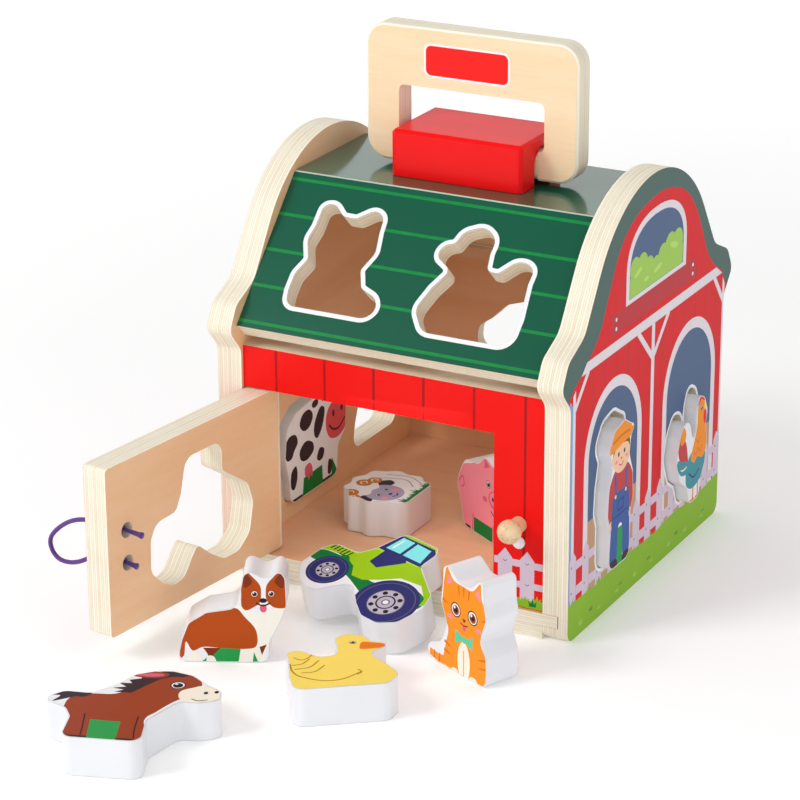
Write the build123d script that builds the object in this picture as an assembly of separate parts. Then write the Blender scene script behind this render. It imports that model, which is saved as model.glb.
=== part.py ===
from build123d import *
import os
from math import asin, atan2, cos, hypot, pi, radians, sin, tan

# Wooden barn shape sorter with its door open and ten blocks in and round it.
# Millimetres: X to the right along the front, Y to the back, Z up.
# The origin is on the floor, in the middle of the barn's footprint.

# Boards and gaps
board = 12.0                # walls, base, front panel, door and handle
roof_board = 9.0
back_board = 6.0
glue_gap = 0.1              # between boards that are glued to each other
running_gap = 0.5           # round the door, which swings
rest_gap = 0.3              # under a block that lies on a board
pin_gap = 0.05              # radial, round dowels and pins

# Side walls: a bell outline, seen along X
barn_width = 172.0          # over both side walls
foot_depth = 165.0          # front to back at the floor
foot_corner = 5.0
eave_drop = 1.8             # straight side's end below the header's top
eave_rise = 10.5            # from there to the tip of the eave's nose
eave_reach = 9.0            # how far the nose stands out
shoulder_rise = 11.0        # nose to shoulder
shoulder_reach = 3.0
waist_rise = 7.0            # shoulder to waist
waist_depth = 140.0         # between the two waists
crown_radius = 66.0
crown_rise = 12.2           # crown above the roof's flat top
eave_hollow = 6.0           # corner radii up the outline
eave_nose = 5.0
eave_shoulder = 8.0
waist_round = 12.0
wall_hem = 4.0              # rounded lower inner edge of a side wall

# Base, let into the side walls
tongue_length = 7.0
tongue_thickness = 5.6
groove_depth = 7.5
back_groove = 4.0          # rebate for the back board

# Front panel: a header with one stile
front_recess = 1.5
header_underside = 90.5
header_height = 19.3
stile_width = 24.4
back_recess = 0.5

# Roof: a flat top panel and two slopes
roof_rise = 67.0            # header's top to the flat top
ridge_depth = 65.0          # depth of the flat top panel
slope_foot_rise = 10.5      # slope's lower edge above the header's top
slope_foot_reach = 3.5      # and in front of the walls

# Dowels between the header and the side walls
dowel_radius = 2.0
dowel_length = 20.0
dowel_drop = 6.0            # below the header's top

# Door, hinged at the left of the doorway on two pins
door_open = 97.5
door_gap = 0.8              # over and under the door
hinge_side_gap = 1.5
door_corner = 2.0
pin_radius = 2.0
pin_length = 16.0
pin_in_door = 8.0
cord_hole_inset = 12.4      # from the door's free edge
cord_hole_radius = 1.5
cord_sink_radius = 3.5      # wider mouth for the knot, on the inner face
cord_sink_depth = 6.0
cord_spread = 15.0          # between the two holes
cord_height = 51.0

# Elastic loop
cord_radius = 1.0
knot_radius = 2.4
knot_length = 4.4

# Knob and button on the stile
knob_ball = 5.3
knob_neck = 3.6
knob_reach = 9.5            # ball's centre in front of the panel
knob_tenon = 2.5
knob_tenon_length = 8.0
button_radius = 2.9
button_thickness = 1.2
button_drop = 8.4           # below the knob

# Handle ring and the saddle that holds its bottom bar
handle_width = 104.0
handle_rise = 64.7          # its top above the roof
handle_corner = 10.0
handle_edge = 1.2
bar_height = 13.0
bar_round = 4.0
handle_lift = 2.3           # ring's lower edge above the roof
window_width = 71.4
window_height = 22.4
window_corner = 3.0
saddle_width = 64.0
saddle_depth = 41.0
saddle_height = 21.3
saddle_edge = 1.5
channel_gap = 0.6
screw_radius = 1.6
screw_head = 3.2
screw_length = 20.0

# Blocks
block_thickness = 17.0
hole_gap = 1.6              # all round a block in its hole
print_stand = 5.5           # how far a block stands out of the right wall
cow_stand = 3.0             # how far the cow stands into the barn
corner_round = 5.0          # largest corner radius of a block

# Block outlines: across and up from the middle of the feet, seen from the printed side
HORSE = [(-19.8, 0), (13, 0), (11, 18.5), (14.8, 26), (19.8, 36), (28, 36), (36, 39.5), (35.2, 48),
         (29, 52), (20.7, 60.2), (12, 63), (5, 62.5), (-3, 58), (-8, 48.5), (-16.6, 39), (-28, 39.5),
         (-35.5, 31.5), (-24, 24.5), (-20.5, 17.5)]
DOG = [(-23.6, 0), (16, 0), (16.2, 9.5), (21, 19), (23.8, 26.5), (23.5, 39.5), (21, 42.7), (14.9, 38.8),
       (8.5, 42.4), (5.6, 41), (4, 33.4), (2.2, 25.4), (-10.5, 23.4), (-18.3, 18.4), (-21.4, 10.3)]
DUCK = [(-22, 0), (17, 0), (22.8, 8.4), (18.8, 18.6), (12.4, 29.2), (21.5, 34.8), (20.5, 38.4),
        (15.5, 40), (13.2, 46.2), (6, 49.5), (0.2, 45.5), (0.8, 39), (-0.5, 29.5), (-8, 28.9),
        (-15.3, 36.4), (-21.5, 35), (-20.9, 27.9), (-22.5, 11.9)]
TRACTOR = [(-20.5, 0), (-14.5, 1), (-9.8, 7.4), (-4.4, 13.6), (6, 5), (14, 0), (23.4, 0), (30.7, 5.6),
           (33.5, 18.2), (30.2, 27.5), (12.4, 39.3), (12.7, 48.7), (10.3, 52.8), (-9.3, 52.6),
           (-12.9, 38.2), (-17.1, 30.5), (-30.4, 29.6), (-33.5, 23.9), (-33.9, 10.2), (-27, 3.2)]
CAT = [(-17.5, 0), (19.5, 0), (20.5, 6), (20.3, 13.7), (16.4, 21.5), (20.3, 31), (18.8, 37.5),
       (18.5, 47), (15, 47.6), (9.5, 42.5), (2, 42.3), (-5.5, 47.6), (-9, 45.8), (-9.3, 39),
       (-10.8, 29.5), (-6.6, 20.5), (-10.5, 10.8), (-18.8, 7.5), (-20.5, 3.5)]
SHEEP = [(-12.2, 0), (12.2, 0), (13, 5), (18.5, 8), (17, 15), (20, 21), (16, 26), (14.5, 32.5), (8, 32.5),
         (3, 37), (-3, 34), (-9, 36), (-12, 30.5), (-18, 28.5), (-17, 22), (-20, 16), (-16, 11),
         (-16.5, 4)]
PIG = [(-18, 0), (17, 0), (19, 8), (22.5, 14), (22, 27), (17.5, 33), (17, 40.5), (9, 37), (0, 40.5),
       (-5, 35), (-17, 33), (-21.5, 26), (-24, 19), (-20, 10)]
COW = [(-24, 0), (20, 0), (20.5, 14), (28, 20), (29, 31), (25, 37), (28, 44), (19, 46), (14, 51), (8, 46),
       (-18, 43.5), (-26.5, 38), (-28.5, 24), (-25, 12)]
FARMER = [(-11, 0), (10.5, 0), (11, 22), (13.5, 28), (12.5, 40), (8.5, 49), (10, 57), (14, 61), (9, 63.5),
          (3, 67), (-7, 65), (-13.5, 57), (-9.3, 50), (-12.5, 38), (-13.5, 27), (-11, 21)]
ROOSTER = [(-2, 0), (10, 0), (11, 8), (16, 15), (17.7, 26), (16, 34), (17.7, 40), (14, 47.5), (8, 50.5),
           (5, 44), (4.5, 35), (1.5, 30.5), (-3, 41), (-9, 42.5), (-14, 36.5), (-17.7, 26), (-13, 15),
           (-5, 9.5)]

# Blocks on the floor: middle of the feet, and the angle of the block's width to X
horse_at = (-21.9, -275.1)
horse_turn = 19.0
duck_at = (38.4, -190.9)
duck_turn = 36.7
dog_at = (-32.8, -163.8)
dog_turn = 26.2
cat_at = (56.1, -128.5)
cat_turn = -25.3
tractor_across = -3.0       # the tractor leans on the base's front edge
tractor_turn = -17.2
tractor_lean = 15.4
sheep_at = (-15.5, -25.3)
sheep_turn = 90.0
pig_at = (16.0, -22.6)
pig_turn = -31.8

# Blocks and holes in the walls: middle of the feet along the wall, and height
cow_hole = (-23.0, 22.0)
dog_hole = (42.6, 26.1)
farmer_hole = (-42.0, 24.3)
rooster_hole = (36.5, 23.3)
horse_hole = (0.0, 26.0)
tractor_hole = (53.0, 23.6)  # from the hinge axis
cat_hole = (-33.5, 15.0)    # across the front slope, and up it from the eave
duck_hole = (31.0, 13.6)
pig_hole = (-33.0, 19.0)
sheep_hole = (33.0, 21.0)

# Worked out from the values above
half_width = barn_width / 2
half_depth = foot_depth / 2
inner_x = half_width - board
front_y = -half_depth + front_recess
back_y = half_depth - back_recess
doorway_right = inner_x - stile_width
header_top = header_underside + header_height
roof_height = header_top + roof_rise
pivot = (-inner_x + hinge_side_gap + board / 2, front_y + board / 2)
door_low = board + door_gap
door_high = header_underside - door_gap
door_reach = doorway_right - running_gap - pivot[0]
bar_axis = roof_height + handle_lift + bar_height / 2
slope_foot = (-half_depth - slope_foot_reach, header_top + slope_foot_rise)
slope_run = (-ridge_depth / 2 - slope_foot[0], roof_height - slope_foot[1])
slope_length = hypot(*slope_run)
pitch = atan2(slope_run[1], slope_run[0])
mitre = roof_board * tan(pitch / 2)
eave_underside = header_top - eave_drop
stile_middle = inner_x - stile_width / 2
back_top = eave_underside - glue_gap


def turn_at(before, corner, after):
    """Angle in radians by which a route turns at a corner."""
    first = Vector(*corner) - Vector(*before)
    second = Vector(*after) - Vector(*corner)
    return radians(first.get_angle(second))


def largest_radius(before, corner, after):
    """Corner radius whose arc takes 0.45 of the shorter of the two runs beside it."""
    first = (Vector(*corner) - Vector(*before)).length
    second = (Vector(*after) - Vector(*corner)).length
    return 0.45 * min(first, second) / tan(turn_at(before, corner, after) / 2)


def soft_face(points, largest):
    """Closed outline with each corner rounded as far as its runs allow."""
    count = len(points)
    radii = []
    for index in range(count):
        allowed = largest_radius(points[index - 1], points[index], points[(index + 1) % count])
        radii.append(min(largest, allowed))
    return Face(FilletPolyline(*points, radius=radii, close=True))


def slab(face, plane, thickness):
    """Board of the given face, laid on the plane and grown along its normal."""
    return extrude(plane * face, thickness, dir=plane.z_dir)


def flipped(points):
    """The outline as seen from its other side."""
    return [(-across, up) for across, up in reversed(points)]


def block_face(points):
    """Outline of one animal block."""
    return soft_face(points, corner_round)


def hole_through(points, at, plane, thickness):
    """Cutter for a block's hole: its outline with the clearance all round."""
    face = offset(block_face(points), hole_gap, kind=Kind.ARC)
    return slab(Pos(at[0], at[1]) * face, plane.offset(-thickness / 2), thickness * 2)


def rod(radius, start, direction, length):
    """Round rod from a point along a direction."""
    plane = Plane(origin=start, z_dir=direction)
    return extrude(plane * Circle(radius), length, dir=plane.z_dir)


def wall_face():
    """Bell outline of a side wall: feet, straight sides, eave noses, waists and round crown."""
    nose = eave_underside + eave_rise
    shoulder = nose + shoulder_rise
    waist = waist_depth / 2
    waist_height = shoulder + waist_rise
    rise = waist_height - (roof_height + crown_rise - crown_radius)
    leg = asin(crown_radius / hypot(waist, rise)) - atan2(rise, waist)
    apex = waist_height + waist * tan(leg)
    side = [(half_depth, 0), (half_depth, eave_underside), (half_depth + eave_reach, nose),
            (half_depth + shoulder_reach, shoulder), (waist, waist_height)]
    side_radii = [foot_corner, eave_hollow, eave_nose, eave_shoulder, waist_round]
    points = side + [(0, apex)] + [(-across, up) for across, up in reversed(side)]
    return Face(FilletPolyline(*points, radius=side_radii + [crown_radius] + side_radii[::-1], close=True))


def wall_plane(side):
    """Inner face of a side wall, its normal pointing out of the barn."""
    return Plane(origin=(side * inner_x, 0, 0), x_dir=(0, side, 0), z_dir=(side, 0, 0))


def roof_plane(side):
    """Outer face of a slope, its origin on the eave, X across and Y up the slope."""
    return Plane(origin=(0, side * -slope_foot[0], slope_foot[1]), x_dir=(-side, 0, 0),
                 z_dir=(0, side * sin(pitch), cos(pitch)))


def dowel(side, gap):
    """Dowel between the header and a side wall, or with a gap its hole."""
    start = (side * (inner_x - dowel_length / 2 - gap), front_y + board / 2, header_top - dowel_drop)
    return rod(dowel_radius + gap, start, (side, 0, 0), dowel_length + 2 * gap)


def side_wall(side):
    """Plywood gable, grooved for the base and the back, with its two shape holes."""
    plane = wall_plane(side)
    wall = slab(wall_face(), plane, board)
    floor_groove = Box(groove_depth * 2, foot_depth * 2, tongue_thickness + 2 * glue_gap)
    wall -= Pos(side * inner_x, 0, board - tongue_thickness / 2) * floor_groove
    rebate = Box(2 * (back_groove + glue_gap), 2 * (back_board + back_recess + glue_gap), back_top - board)
    wall -= Pos(side * inner_x, half_depth, (board + back_top) / 2) * rebate
    wall -= dowel(side, pin_gap)
    corner = Rectangle(2 * wall_hem, 2 * wall_hem) - Pos(wall_hem, wall_hem) * Circle(wall_hem)
    across = Plane(origin=(side * inner_x, side * foot_depth, 0), x_dir=(side, 0, 0), z_dir=(0, -side, 0))
    return wall - slab(corner, across, 2 * foot_depth), plane


def left_wall():
    wall, plane = side_wall(-1)
    for points, (along, up) in ((COW, cow_hole), (DOG, dog_hole)):
        wall -= hole_through(flipped(points), (-along, up), plane, board)
    return wall


def right_wall():
    wall, plane = side_wall(1)
    for points, at in ((FARMER, farmer_hole), (ROOSTER, rooster_hole)):
        wall -= hole_through(points, at, plane, board)
    return wall


def base_board():
    """Floor board whose rebated ends leave a tongue for each side wall's groove."""
    width = 2 * (inner_x - glue_gap)
    base = Pos(0, 0, board / 2) * Box(width, foot_depth, board)
    tongue = Box(2 * (inner_x + tongue_length), foot_depth, tongue_thickness)
    base += Pos(0, 0, board - tongue_thickness / 2) * tongue
    bore = rod(pin_radius + pin_gap, (*pivot, board - pin_length / 2), (0, 0, 1), pin_length)
    return base - bore


def front_panel():
    """L-shaped board: the header over the doorway and the stile at its right."""
    left = -inner_x + glue_gap
    right = inner_x - glue_gap
    foot = board + glue_gap
    outline = Polyline((left, header_underside), (doorway_right, header_underside), (doorway_right, foot),
                       (right, foot), (right, header_top), (left, header_top), close=True)
    plane = Plane(origin=(0, front_y + board, 0), x_dir=(1, 0, 0), z_dir=(0, -1, 0))
    panel = slab(Face(outline), plane, board)
    bore = rod(pin_radius + pin_gap, (*pivot, header_underside), (0, 0, 1), pin_length / 2)
    tenon = rod(knob_tenon + pin_gap, (stile_middle, front_y, cord_height), (0, 1, 0),
                knob_tenon_length + pin_gap)
    return panel - bore - tenon - dowel(-1, pin_gap) - dowel(1, pin_gap)


def back_wall():
    """Thin back board, let into both side walls, with the horse's hole."""
    foot = board + glue_gap
    top = back_top - glue_gap
    width = 2 * (inner_x + back_groove - glue_gap)
    board_face = Pos(0, (foot + top) / 2) * Rectangle(width, top - foot)
    plane = Plane(origin=(0, back_y - back_board, 0), x_dir=(-1, 0, 0), z_dir=(0, 1, 0))
    return slab(board_face, plane, back_board) - hole_through(HORSE, horse_hole, plane, back_board)


def roof_top_panel():
    """Flat top board, mitred to both slopes and bored for the saddle's screws."""
    half = ridge_depth / 2 - glue_gap / 2
    low = roof_height - roof_board
    outline = Polyline((-half, roof_height), (-half + mitre, low), (half - mitre, low),
                       (half, roof_height), close=True)
    plane = Plane(origin=(-inner_x + glue_gap, 0, 0), x_dir=(0, 1, 0), z_dir=(1, 0, 0))
    panel = slab(Face(outline), plane, 2 * (inner_x - glue_gap))
    for x, y in screw_spots():
        panel -= screw(x, y, pin_gap)
    return panel


def slope_panel(side, holes):
    """Sloping roof board with its shape holes."""
    plane = roof_plane(side)
    profile = Polyline((0, 0), (slope_length - glue_gap / 2, 0),
                       (slope_length - glue_gap / 2 - mitre, -roof_board), (0, -roof_board), close=True)
    start = plane.from_local_coords((-inner_x + glue_gap, 0, 0))
    section = Plane(origin=start, x_dir=plane.y_dir, z_dir=plane.x_dir)
    panel = slab(Face(profile), section, 2 * (inner_x - glue_gap))
    for points, at in holes:
        panel -= hole_through(points, at, plane.offset(-roof_board), roof_board)
    return panel


def wall_dowels():
    return Compound([dowel(-1, 0), dowel(1, 0)])


def screw_spots():
    """One screw in each saddle leg, at opposite ends."""
    leg = (board / 2 + channel_gap + saddle_depth / 2) / 2
    return [(side * saddle_width / 3, side * leg) for side in (-1, 1)]


def screw(x, y, gap):
    """Screw with a sunk head, driven up through the top panel."""
    low = (x, y, roof_height - roof_board)
    shank = rod(screw_radius + gap, low, (0, 0, 1), screw_length + gap)
    return shank + rod(screw_head + gap, low, (0, 0, 1), screw_head / 2 + gap)


def saddle_screws():
    return Compound([screw(x, y, 0) for x, y in screw_spots()])


def handle_saddle():
    """Inverted U over the handle's bottom bar, its channel round-topped."""
    block = Pos(0, 0, roof_height + glue_gap + saddle_height / 2)
    block *= Box(saddle_width, saddle_depth, saddle_height)
    block = chamfer([e for e in block.edges() if e.center().Z > roof_height + 1], saddle_edge)
    reach = hypot(board / 2 - bar_round, bar_height / 2 - bar_round) + bar_round + channel_gap
    drop = bar_axis - roof_height
    channel = Circle(reach) + Pos(0, -drop / 2) * Rectangle(2 * reach, drop)
    plane = Plane(origin=(-saddle_width, 0, bar_axis), x_dir=(0, 1, 0), z_dir=(1, 0, 0))
    block -= extrude(plane * channel, 2 * saddle_width, dir=plane.z_dir)
    for x, y in screw_spots():
        block -= screw(x, y, pin_gap)
    return block


def handle_plate():
    """Upright ring; its bottom bar is rounded where it turns in the saddle."""
    low = roof_height + handle_lift
    height = handle_rise - handle_lift
    ring = Pos(0, low + height / 2) * RectangleRounded(handle_width, height, handle_corner)
    window = RectangleRounded(window_width, window_height, window_corner)
    plane = Plane(origin=(0, board / 2, 0), x_dir=(1, 0, 0), z_dir=(0, -1, 0))
    plate = slab(ring, plane, board)
    plate = chamfer([e for e in plate.edges() if abs(e.center().Y) > board / 4], handle_edge)
    plate -= slab(Pos(0, low + bar_height + window_height / 2) * window, plane, board)
    bar_width = window_width - 2 * window_corner
    bar_zone = Pos(0, 0, bar_axis) * Box(bar_width, board, bar_height)
    section = Plane(origin=(-bar_width / 2, 0, bar_axis), x_dir=(0, 1, 0), z_dir=(1, 0, 0))
    bar = extrude(section * RectangleRounded(board, bar_height, bar_round), bar_width, dir=section.z_dir)
    return plate - bar_zone + bar


def door_place():
    """Turns the closed door about its pins to the open pose."""
    return Pos(*pivot, 0) * Rot(0, 0, -door_open) * Pos(-pivot[0], -pivot[1], 0)


def cord_holes():
    """Height of both cord holes, upper first."""
    return (cord_height + cord_spread / 2, cord_height - cord_spread / 2)


def door_panel():
    """Plywood door, its hinge end rounded about the pins, with hole for the tractor and the cord."""
    foot = door_low
    right = pivot[0] + door_reach
    body = Pos((pivot[0] + right) / 2, pivot[1], (foot + door_high) / 2)
    body *= Box(right - pivot[0], board, door_high - foot)
    body = fillet(body.edges().filter_by(Axis.Y).sort_by(Axis.X)[-2:], door_corner)
    body += rod(board / 2, (*pivot, foot), (0, 0, 1), door_high - foot)
    plane = Plane(origin=(pivot[0], front_y + board, 0), x_dir=(1, 0, 0), z_dir=(0, -1, 0))
    body -= hole_through(flipped(TRACTOR), tractor_hole, plane, board)
    across = right - cord_hole_inset
    for height in cord_holes():
        body -= rod(cord_hole_radius, (across, front_y, height), (0, 1, 0), board)
        mouth = front_y + board - cord_sink_depth
        body -= rod(cord_sink_radius, (across, mouth, height), (0, 1, 0), cord_sink_depth)
    for low in (foot, door_high - pin_in_door):
        body -= rod(pin_radius + pin_gap, (*pivot, low), (0, 0, 1), pin_in_door)
    return door_place() * body


def door_pin(low):
    """Dowel pin with half its length in the door."""
    return door_place() * rod(pin_radius, (*pivot, low), (0, 0, 1), pin_length)


def cord_route():
    """Loop from the upper hole to the lower one: how far out of the door, and height."""
    start = -(board - cord_sink_depth)
    upper, lower = cord_spread / 2, -cord_spread / 2
    return [(start, upper), (5, upper), (17, 5.5), (27, -1), (33, -8.5), (28.5, -16.5), (17, -15.5),
            (5, lower), (start, lower)]


def elastic_loop():
    """Round elastic along straight runs and tangent arcs, sagging outside the open door."""
    across = pivot[0] + door_reach - cord_hole_inset
    route = [(across, front_y - out, cord_height + up) for out, up in cord_route()]
    radii = [largest_radius(route[i - 1], route[i], route[i + 1]) for i in range(1, len(route) - 1)]
    path = FilletPolyline(*route, radius=radii)
    print("elastic loop radii", [round(r, 1) for r in radii], "length", round(path.length, 1))
    tube = sweep(Plane(origin=route[0], z_dir=(0, -1, 0)) * Circle(cord_radius), path=path)
    print("elastic loop volume against section times length",
          round(tube.volume / (pi * cord_radius ** 2 * path.length), 3))
    return door_place() * tube


def loop_knots():
    """Knots in the sunk mouths of the two cord holes, drawn as bevelled barrels."""
    across = pivot[0] + door_reach - cord_hole_inset
    depth = front_y + board - cord_sink_depth + glue_gap
    knots = []
    for height in cord_holes():
        knot = rod(knot_radius, (across, depth, height), (0, 1, 0), knot_length)
        knots.append(door_place() * chamfer(knot.edges().sort_by(Axis.Y)[-1], knot_radius / 3))
    return Compound(knots)


def stile_knob():
    """Turned ball with a neck and a tenon, seen from the side as one profile."""
    profile = Face(Wire([
        Edge.make_line((0, -knob_tenon_length), (knob_tenon, -knob_tenon_length)),
        Edge.make_line((knob_tenon, -knob_tenon_length), (knob_tenon, glue_gap)),
        Edge.make_line((knob_tenon, glue_gap), (knob_neck, glue_gap)),
        Edge.make_line((knob_neck, glue_gap), (knob_neck, knob_reach - (knob_ball ** 2 - knob_neck ** 2) ** 0.5)),
        Edge.make_three_point_arc((knob_neck, knob_reach - (knob_ball ** 2 - knob_neck ** 2) ** 0.5),
                                  (knob_ball, knob_reach), (0, knob_reach + knob_ball)),
        Edge.make_line((0, knob_reach + knob_ball), (0, -knob_tenon_length)),
    ]))
    turned = revolve(profile, Axis.Y)
    return Pos(stile_middle, front_y, cord_height) * Rot(180, 0, 0) * turned


def stile_button():
    """Small round plug pressed against the stile under the knob."""
    start = (stile_middle, front_y - glue_gap, cord_height - button_drop)
    button = rod(button_radius, start, (0, -1, 0), button_thickness)
    return chamfer(button.edges().sort_by(Axis.Y)[0], button_thickness / 3)


def lying_block(points, at, turn, height):
    """Block on its back, print upwards."""
    width = (cos(radians(turn)), sin(radians(turn)), 0)
    plane = Plane(origin=(*at, height), x_dir=width, z_dir=(0, 0, 1))
    return slab(block_face(points), plane, block_thickness)


def standing_block(points, at, turn, height):
    """Block on its feet; at is the middle of its printed side's lower edge."""
    width = Vector(cos(radians(turn)), sin(radians(turn)), 0)
    out = width.cross(Vector(0, 0, 1))
    plane = Plane(origin=(*at, height), x_dir=width, z_dir=out).offset(-block_thickness)
    return slab(block_face(points), plane, block_thickness)


def leaning_block(points, across, turn, lean):
    """Block with one end on the floor and its back against the base's front edge."""
    place = Rot(lean, 0, 0) * Rot(0, 0, turn)
    block = place * slab(block_face(points), Plane.XY, block_thickness)
    low = block.bounding_box().min
    block = Pos(across, -half_depth, -low.Z) * block
    edge_line = board + rest_gap / cos(radians(lean))
    underside = -low.Z / tan(radians(lean)) - edge_line / tan(radians(lean))
    return Pos(0, underside, 0) * block


def wall_block(points, at, stand, side):
    """Block in its hole in a side wall, lowered onto the hole's edge."""
    face = side * half_width + stand if side > 0 else -inner_x + stand
    origin = (face - block_thickness, at[0], at[1] - hole_gap + rest_gap)
    plane = Plane(origin=origin, x_dir=(0, 1, 0), z_dir=(1, 0, 0))
    return slab(block_face(points), plane, block_thickness)


PARTS = {
    "base_board": base_board(),
    "left_wall": left_wall(),
    "right_wall": right_wall(),
    "front_panel": front_panel(),
    "back_wall": back_wall(),
    "roof_top_panel": roof_top_panel(),
    "front_roof_panel": slope_panel(-1, [(flipped(CAT), cat_hole), (flipped(DUCK), duck_hole)]),
    "back_roof_panel": slope_panel(1, [(PIG, pig_hole), (SHEEP, sheep_hole)]),
    "wall_dowels": wall_dowels(),
    "handle_saddle": handle_saddle(),
    "saddle_screws": saddle_screws(),
    "stile_knob": stile_knob(),
    "stile_button": stile_button(),
    "handle_plate": handle_plate(),
    "door_panel": door_panel(),
    "door_pin_top": door_pin(door_high - pin_in_door),
    "door_pin_bottom": door_pin(door_low + pin_in_door - pin_length),
    "elastic_loop": elastic_loop(),
    "loop_knots": loop_knots(),
    "horse_block": lying_block(HORSE, horse_at, horse_turn, 0),
    "duck_block": lying_block(DUCK, duck_at, duck_turn, 0),
    "dog_block": standing_block(DOG, dog_at, dog_turn, 0),
    "cat_block": standing_block(CAT, cat_at, cat_turn, 0),
    "tractor_block": leaning_block(TRACTOR, tractor_across, tractor_turn, tractor_lean),
    "sheep_block": lying_block(SHEEP, sheep_at, sheep_turn, board + rest_gap),
    "pig_block": standing_block(PIG, pig_at, pig_turn, board + rest_gap),
    "cow_block": wall_block(COW, cow_hole, cow_stand, -1),
    "farmer_block": wall_block(FARMER, farmer_hole, print_stand, 1),
    "rooster_block": wall_block(ROOSTER, rooster_hole, print_stand, 1),
}

os.makedirs("parts", exist_ok=True)
for name, part in PARTS.items():
    export_step(part, f"parts/{name}.step")
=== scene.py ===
"""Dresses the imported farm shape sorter: plywood, paint, printed fields, cord, light and camera."""
import logging
import math
from abc import ABC, abstractmethod
from dataclasses import dataclass, field, replace
from enum import Enum
from typing import Callable, Mapping, Sequence

import bpy
import numpy as np
from mathutils import Matrix, Vector
from mathutils.geometry import delaunay_2d_cdt


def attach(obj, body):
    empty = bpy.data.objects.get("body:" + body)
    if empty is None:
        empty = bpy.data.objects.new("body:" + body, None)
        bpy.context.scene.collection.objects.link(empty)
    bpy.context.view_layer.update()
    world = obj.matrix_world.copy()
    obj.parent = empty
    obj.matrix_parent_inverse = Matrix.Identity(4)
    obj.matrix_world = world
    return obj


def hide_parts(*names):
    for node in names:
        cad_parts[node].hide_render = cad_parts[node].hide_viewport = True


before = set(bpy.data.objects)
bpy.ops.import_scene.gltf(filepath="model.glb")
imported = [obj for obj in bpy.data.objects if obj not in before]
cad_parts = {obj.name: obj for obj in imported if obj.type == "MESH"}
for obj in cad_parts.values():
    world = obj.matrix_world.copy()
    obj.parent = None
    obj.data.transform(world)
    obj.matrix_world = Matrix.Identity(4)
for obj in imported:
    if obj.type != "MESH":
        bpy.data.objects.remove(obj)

LOG = logging.getLogger("scene")

MM = 0.001                  # metres in a millimetre: artwork and boards are laid out in millimetres

Points = np.ndarray         # rows of points, in millimetres unless a name says otherwise
Pair = tuple[float, float]
Vec3 = tuple[float, float, float]
Number = int | float
Colour = tuple[float, float, float, float]      # scene-linear RGBA
Material = bpy.types.Material
Object = bpy.types.Object


# Sizes from the CAD model, mm.
BOARD = 12.0
ROOF_BOARD = 9.0
BACK_BOARD = 6.0
WALL_FACE = 86.0                # outer face of the right wall
FRONT_FACE = -81.0              # front of the front panel
BACK_FACE = 82.0
ROOF_TOP = 176.8
SLOPE_FOOT = (-86.0, 120.3)     # Y and Z of the front slope's lower edge
RIDGE = -32.5                   # Y of the front slope's upper edge
DOOR_PIVOT = (-66.5, -75.0)     # X and Y of the door's pins
DOOR_OPEN = math.radians(97.5)  # from closed to the photo's place
CORD_ACROSS = 36.7              # X of both cord holes on the closed door
CORD_HEIGHT = 51.0              # middle between both cord holes
BLOCK = 17.0                    # thickness of a block
PRINT_LIFT = 0.05               # of printed ink above its board
TINY = 1e-4                     # below which two points of artwork are one
FACE_DEPTH = 0.06               # to which veneer and coat reach at a board's edge
PLANK_LINE_WIDTH = 1.2          # of the dark lines between red planks
BLOB_STEPS = 6                  # points in each span of a closed outline
CURVE_STEPS = 8                 # points in each span of an open line
INK_LAYER = "ink"               # colour attribute of the prints


def tint(text: str) -> Colour:
    """Scene-linear colour: a channel c is c / 12.92 up to 0.04045, and ((c + 0.055) / 1.055)^2.4 above.

    Args:
        text: The colour as six hex digits of sRGB.

    Returns:
        The colour as four floats.
    """
    channels = [int(text[i:i + 2], 16) / 255 for i in (0, 2, 4)]
    return (*[c / 12.92 if c <= 0.04045 else ((c + 0.055) / 1.055) ** 2.4 for c in channels], 1.0)


class Ink(Enum):
    """Printed and painted colours, as sRGB hex values."""

    BARN_RED = "DC141D"
    BARN_RED_DARK = "BF2830"
    GLOSS_RED = "EC1512"
    PLANK_LINE = "A3161A"
    RIM = "4E6862"
    ROOF = "0D5740"
    ROOF_STRIPE = "118A40"
    WHITE = "EEEFF2"
    TRIM = "E6DEE4"
    PICKET = "D9C6D8"
    SLATE = "506689"
    BUSH = "A3CC58"
    BUSH_LIGHT = "BBDC74"
    TAN = "C49A78"
    GRASS = "8CBA2C"
    GRASS_DARK = "5F9130"
    SKY = "7FAADB"
    MEADOW = "259B4B"
    BLACK = "1E1B20"
    DARK = "35262E"
    CREAM = "F7EEDC"
    IVORY = "F4F1E6"
    PAINT = "E8E9ED"
    BROWN = "B34A10"
    BROWN_DARK = "7C3216"
    CHESTNUT = "9A3C1C"
    PINK = "F590A2"
    PINK_DARK = "E2607A"
    ORANGE = "F6931E"
    ORANGE_DARK = "D9741C"
    YELLOW = "FBE06A"
    WING_LINE = "B58A22"
    BEAK = "EE7E22"
    MINT = "58CFA6"
    LIME = "9ACA14"
    LIME_LIGHT = "B4DE3C"
    FOREST = "0B7A34"
    NAVY = "2A2F70"
    STEEL = "B9B4C6"
    STEEL_DARK = "5E5C72"
    CYAN = "83E6EC"
    LAVENDER = "ACA5C4"
    CURL = "C67A2E"
    MUZZLE = "E2565E"
    SKIN = "F9C9A4"
    HAIR = "8A4B22"
    SHIRT = "C73E3C"
    DENIM = "3B5CA0"
    TEAL = "3F93A0"
    SADDLE_RED = "EE0B0D"
    LABEL_RED = "F0201C"
    BOARD_RED = "C0323A"
    # painted highlight along the roof's ridges
    RIDGE_HIGHLIGHT = "B7C2B2"

    @property
    def linear(self) -> Colour:
        """Scene-linear colour of the ink."""
        return tint(self.value)


# Node graphs.

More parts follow.
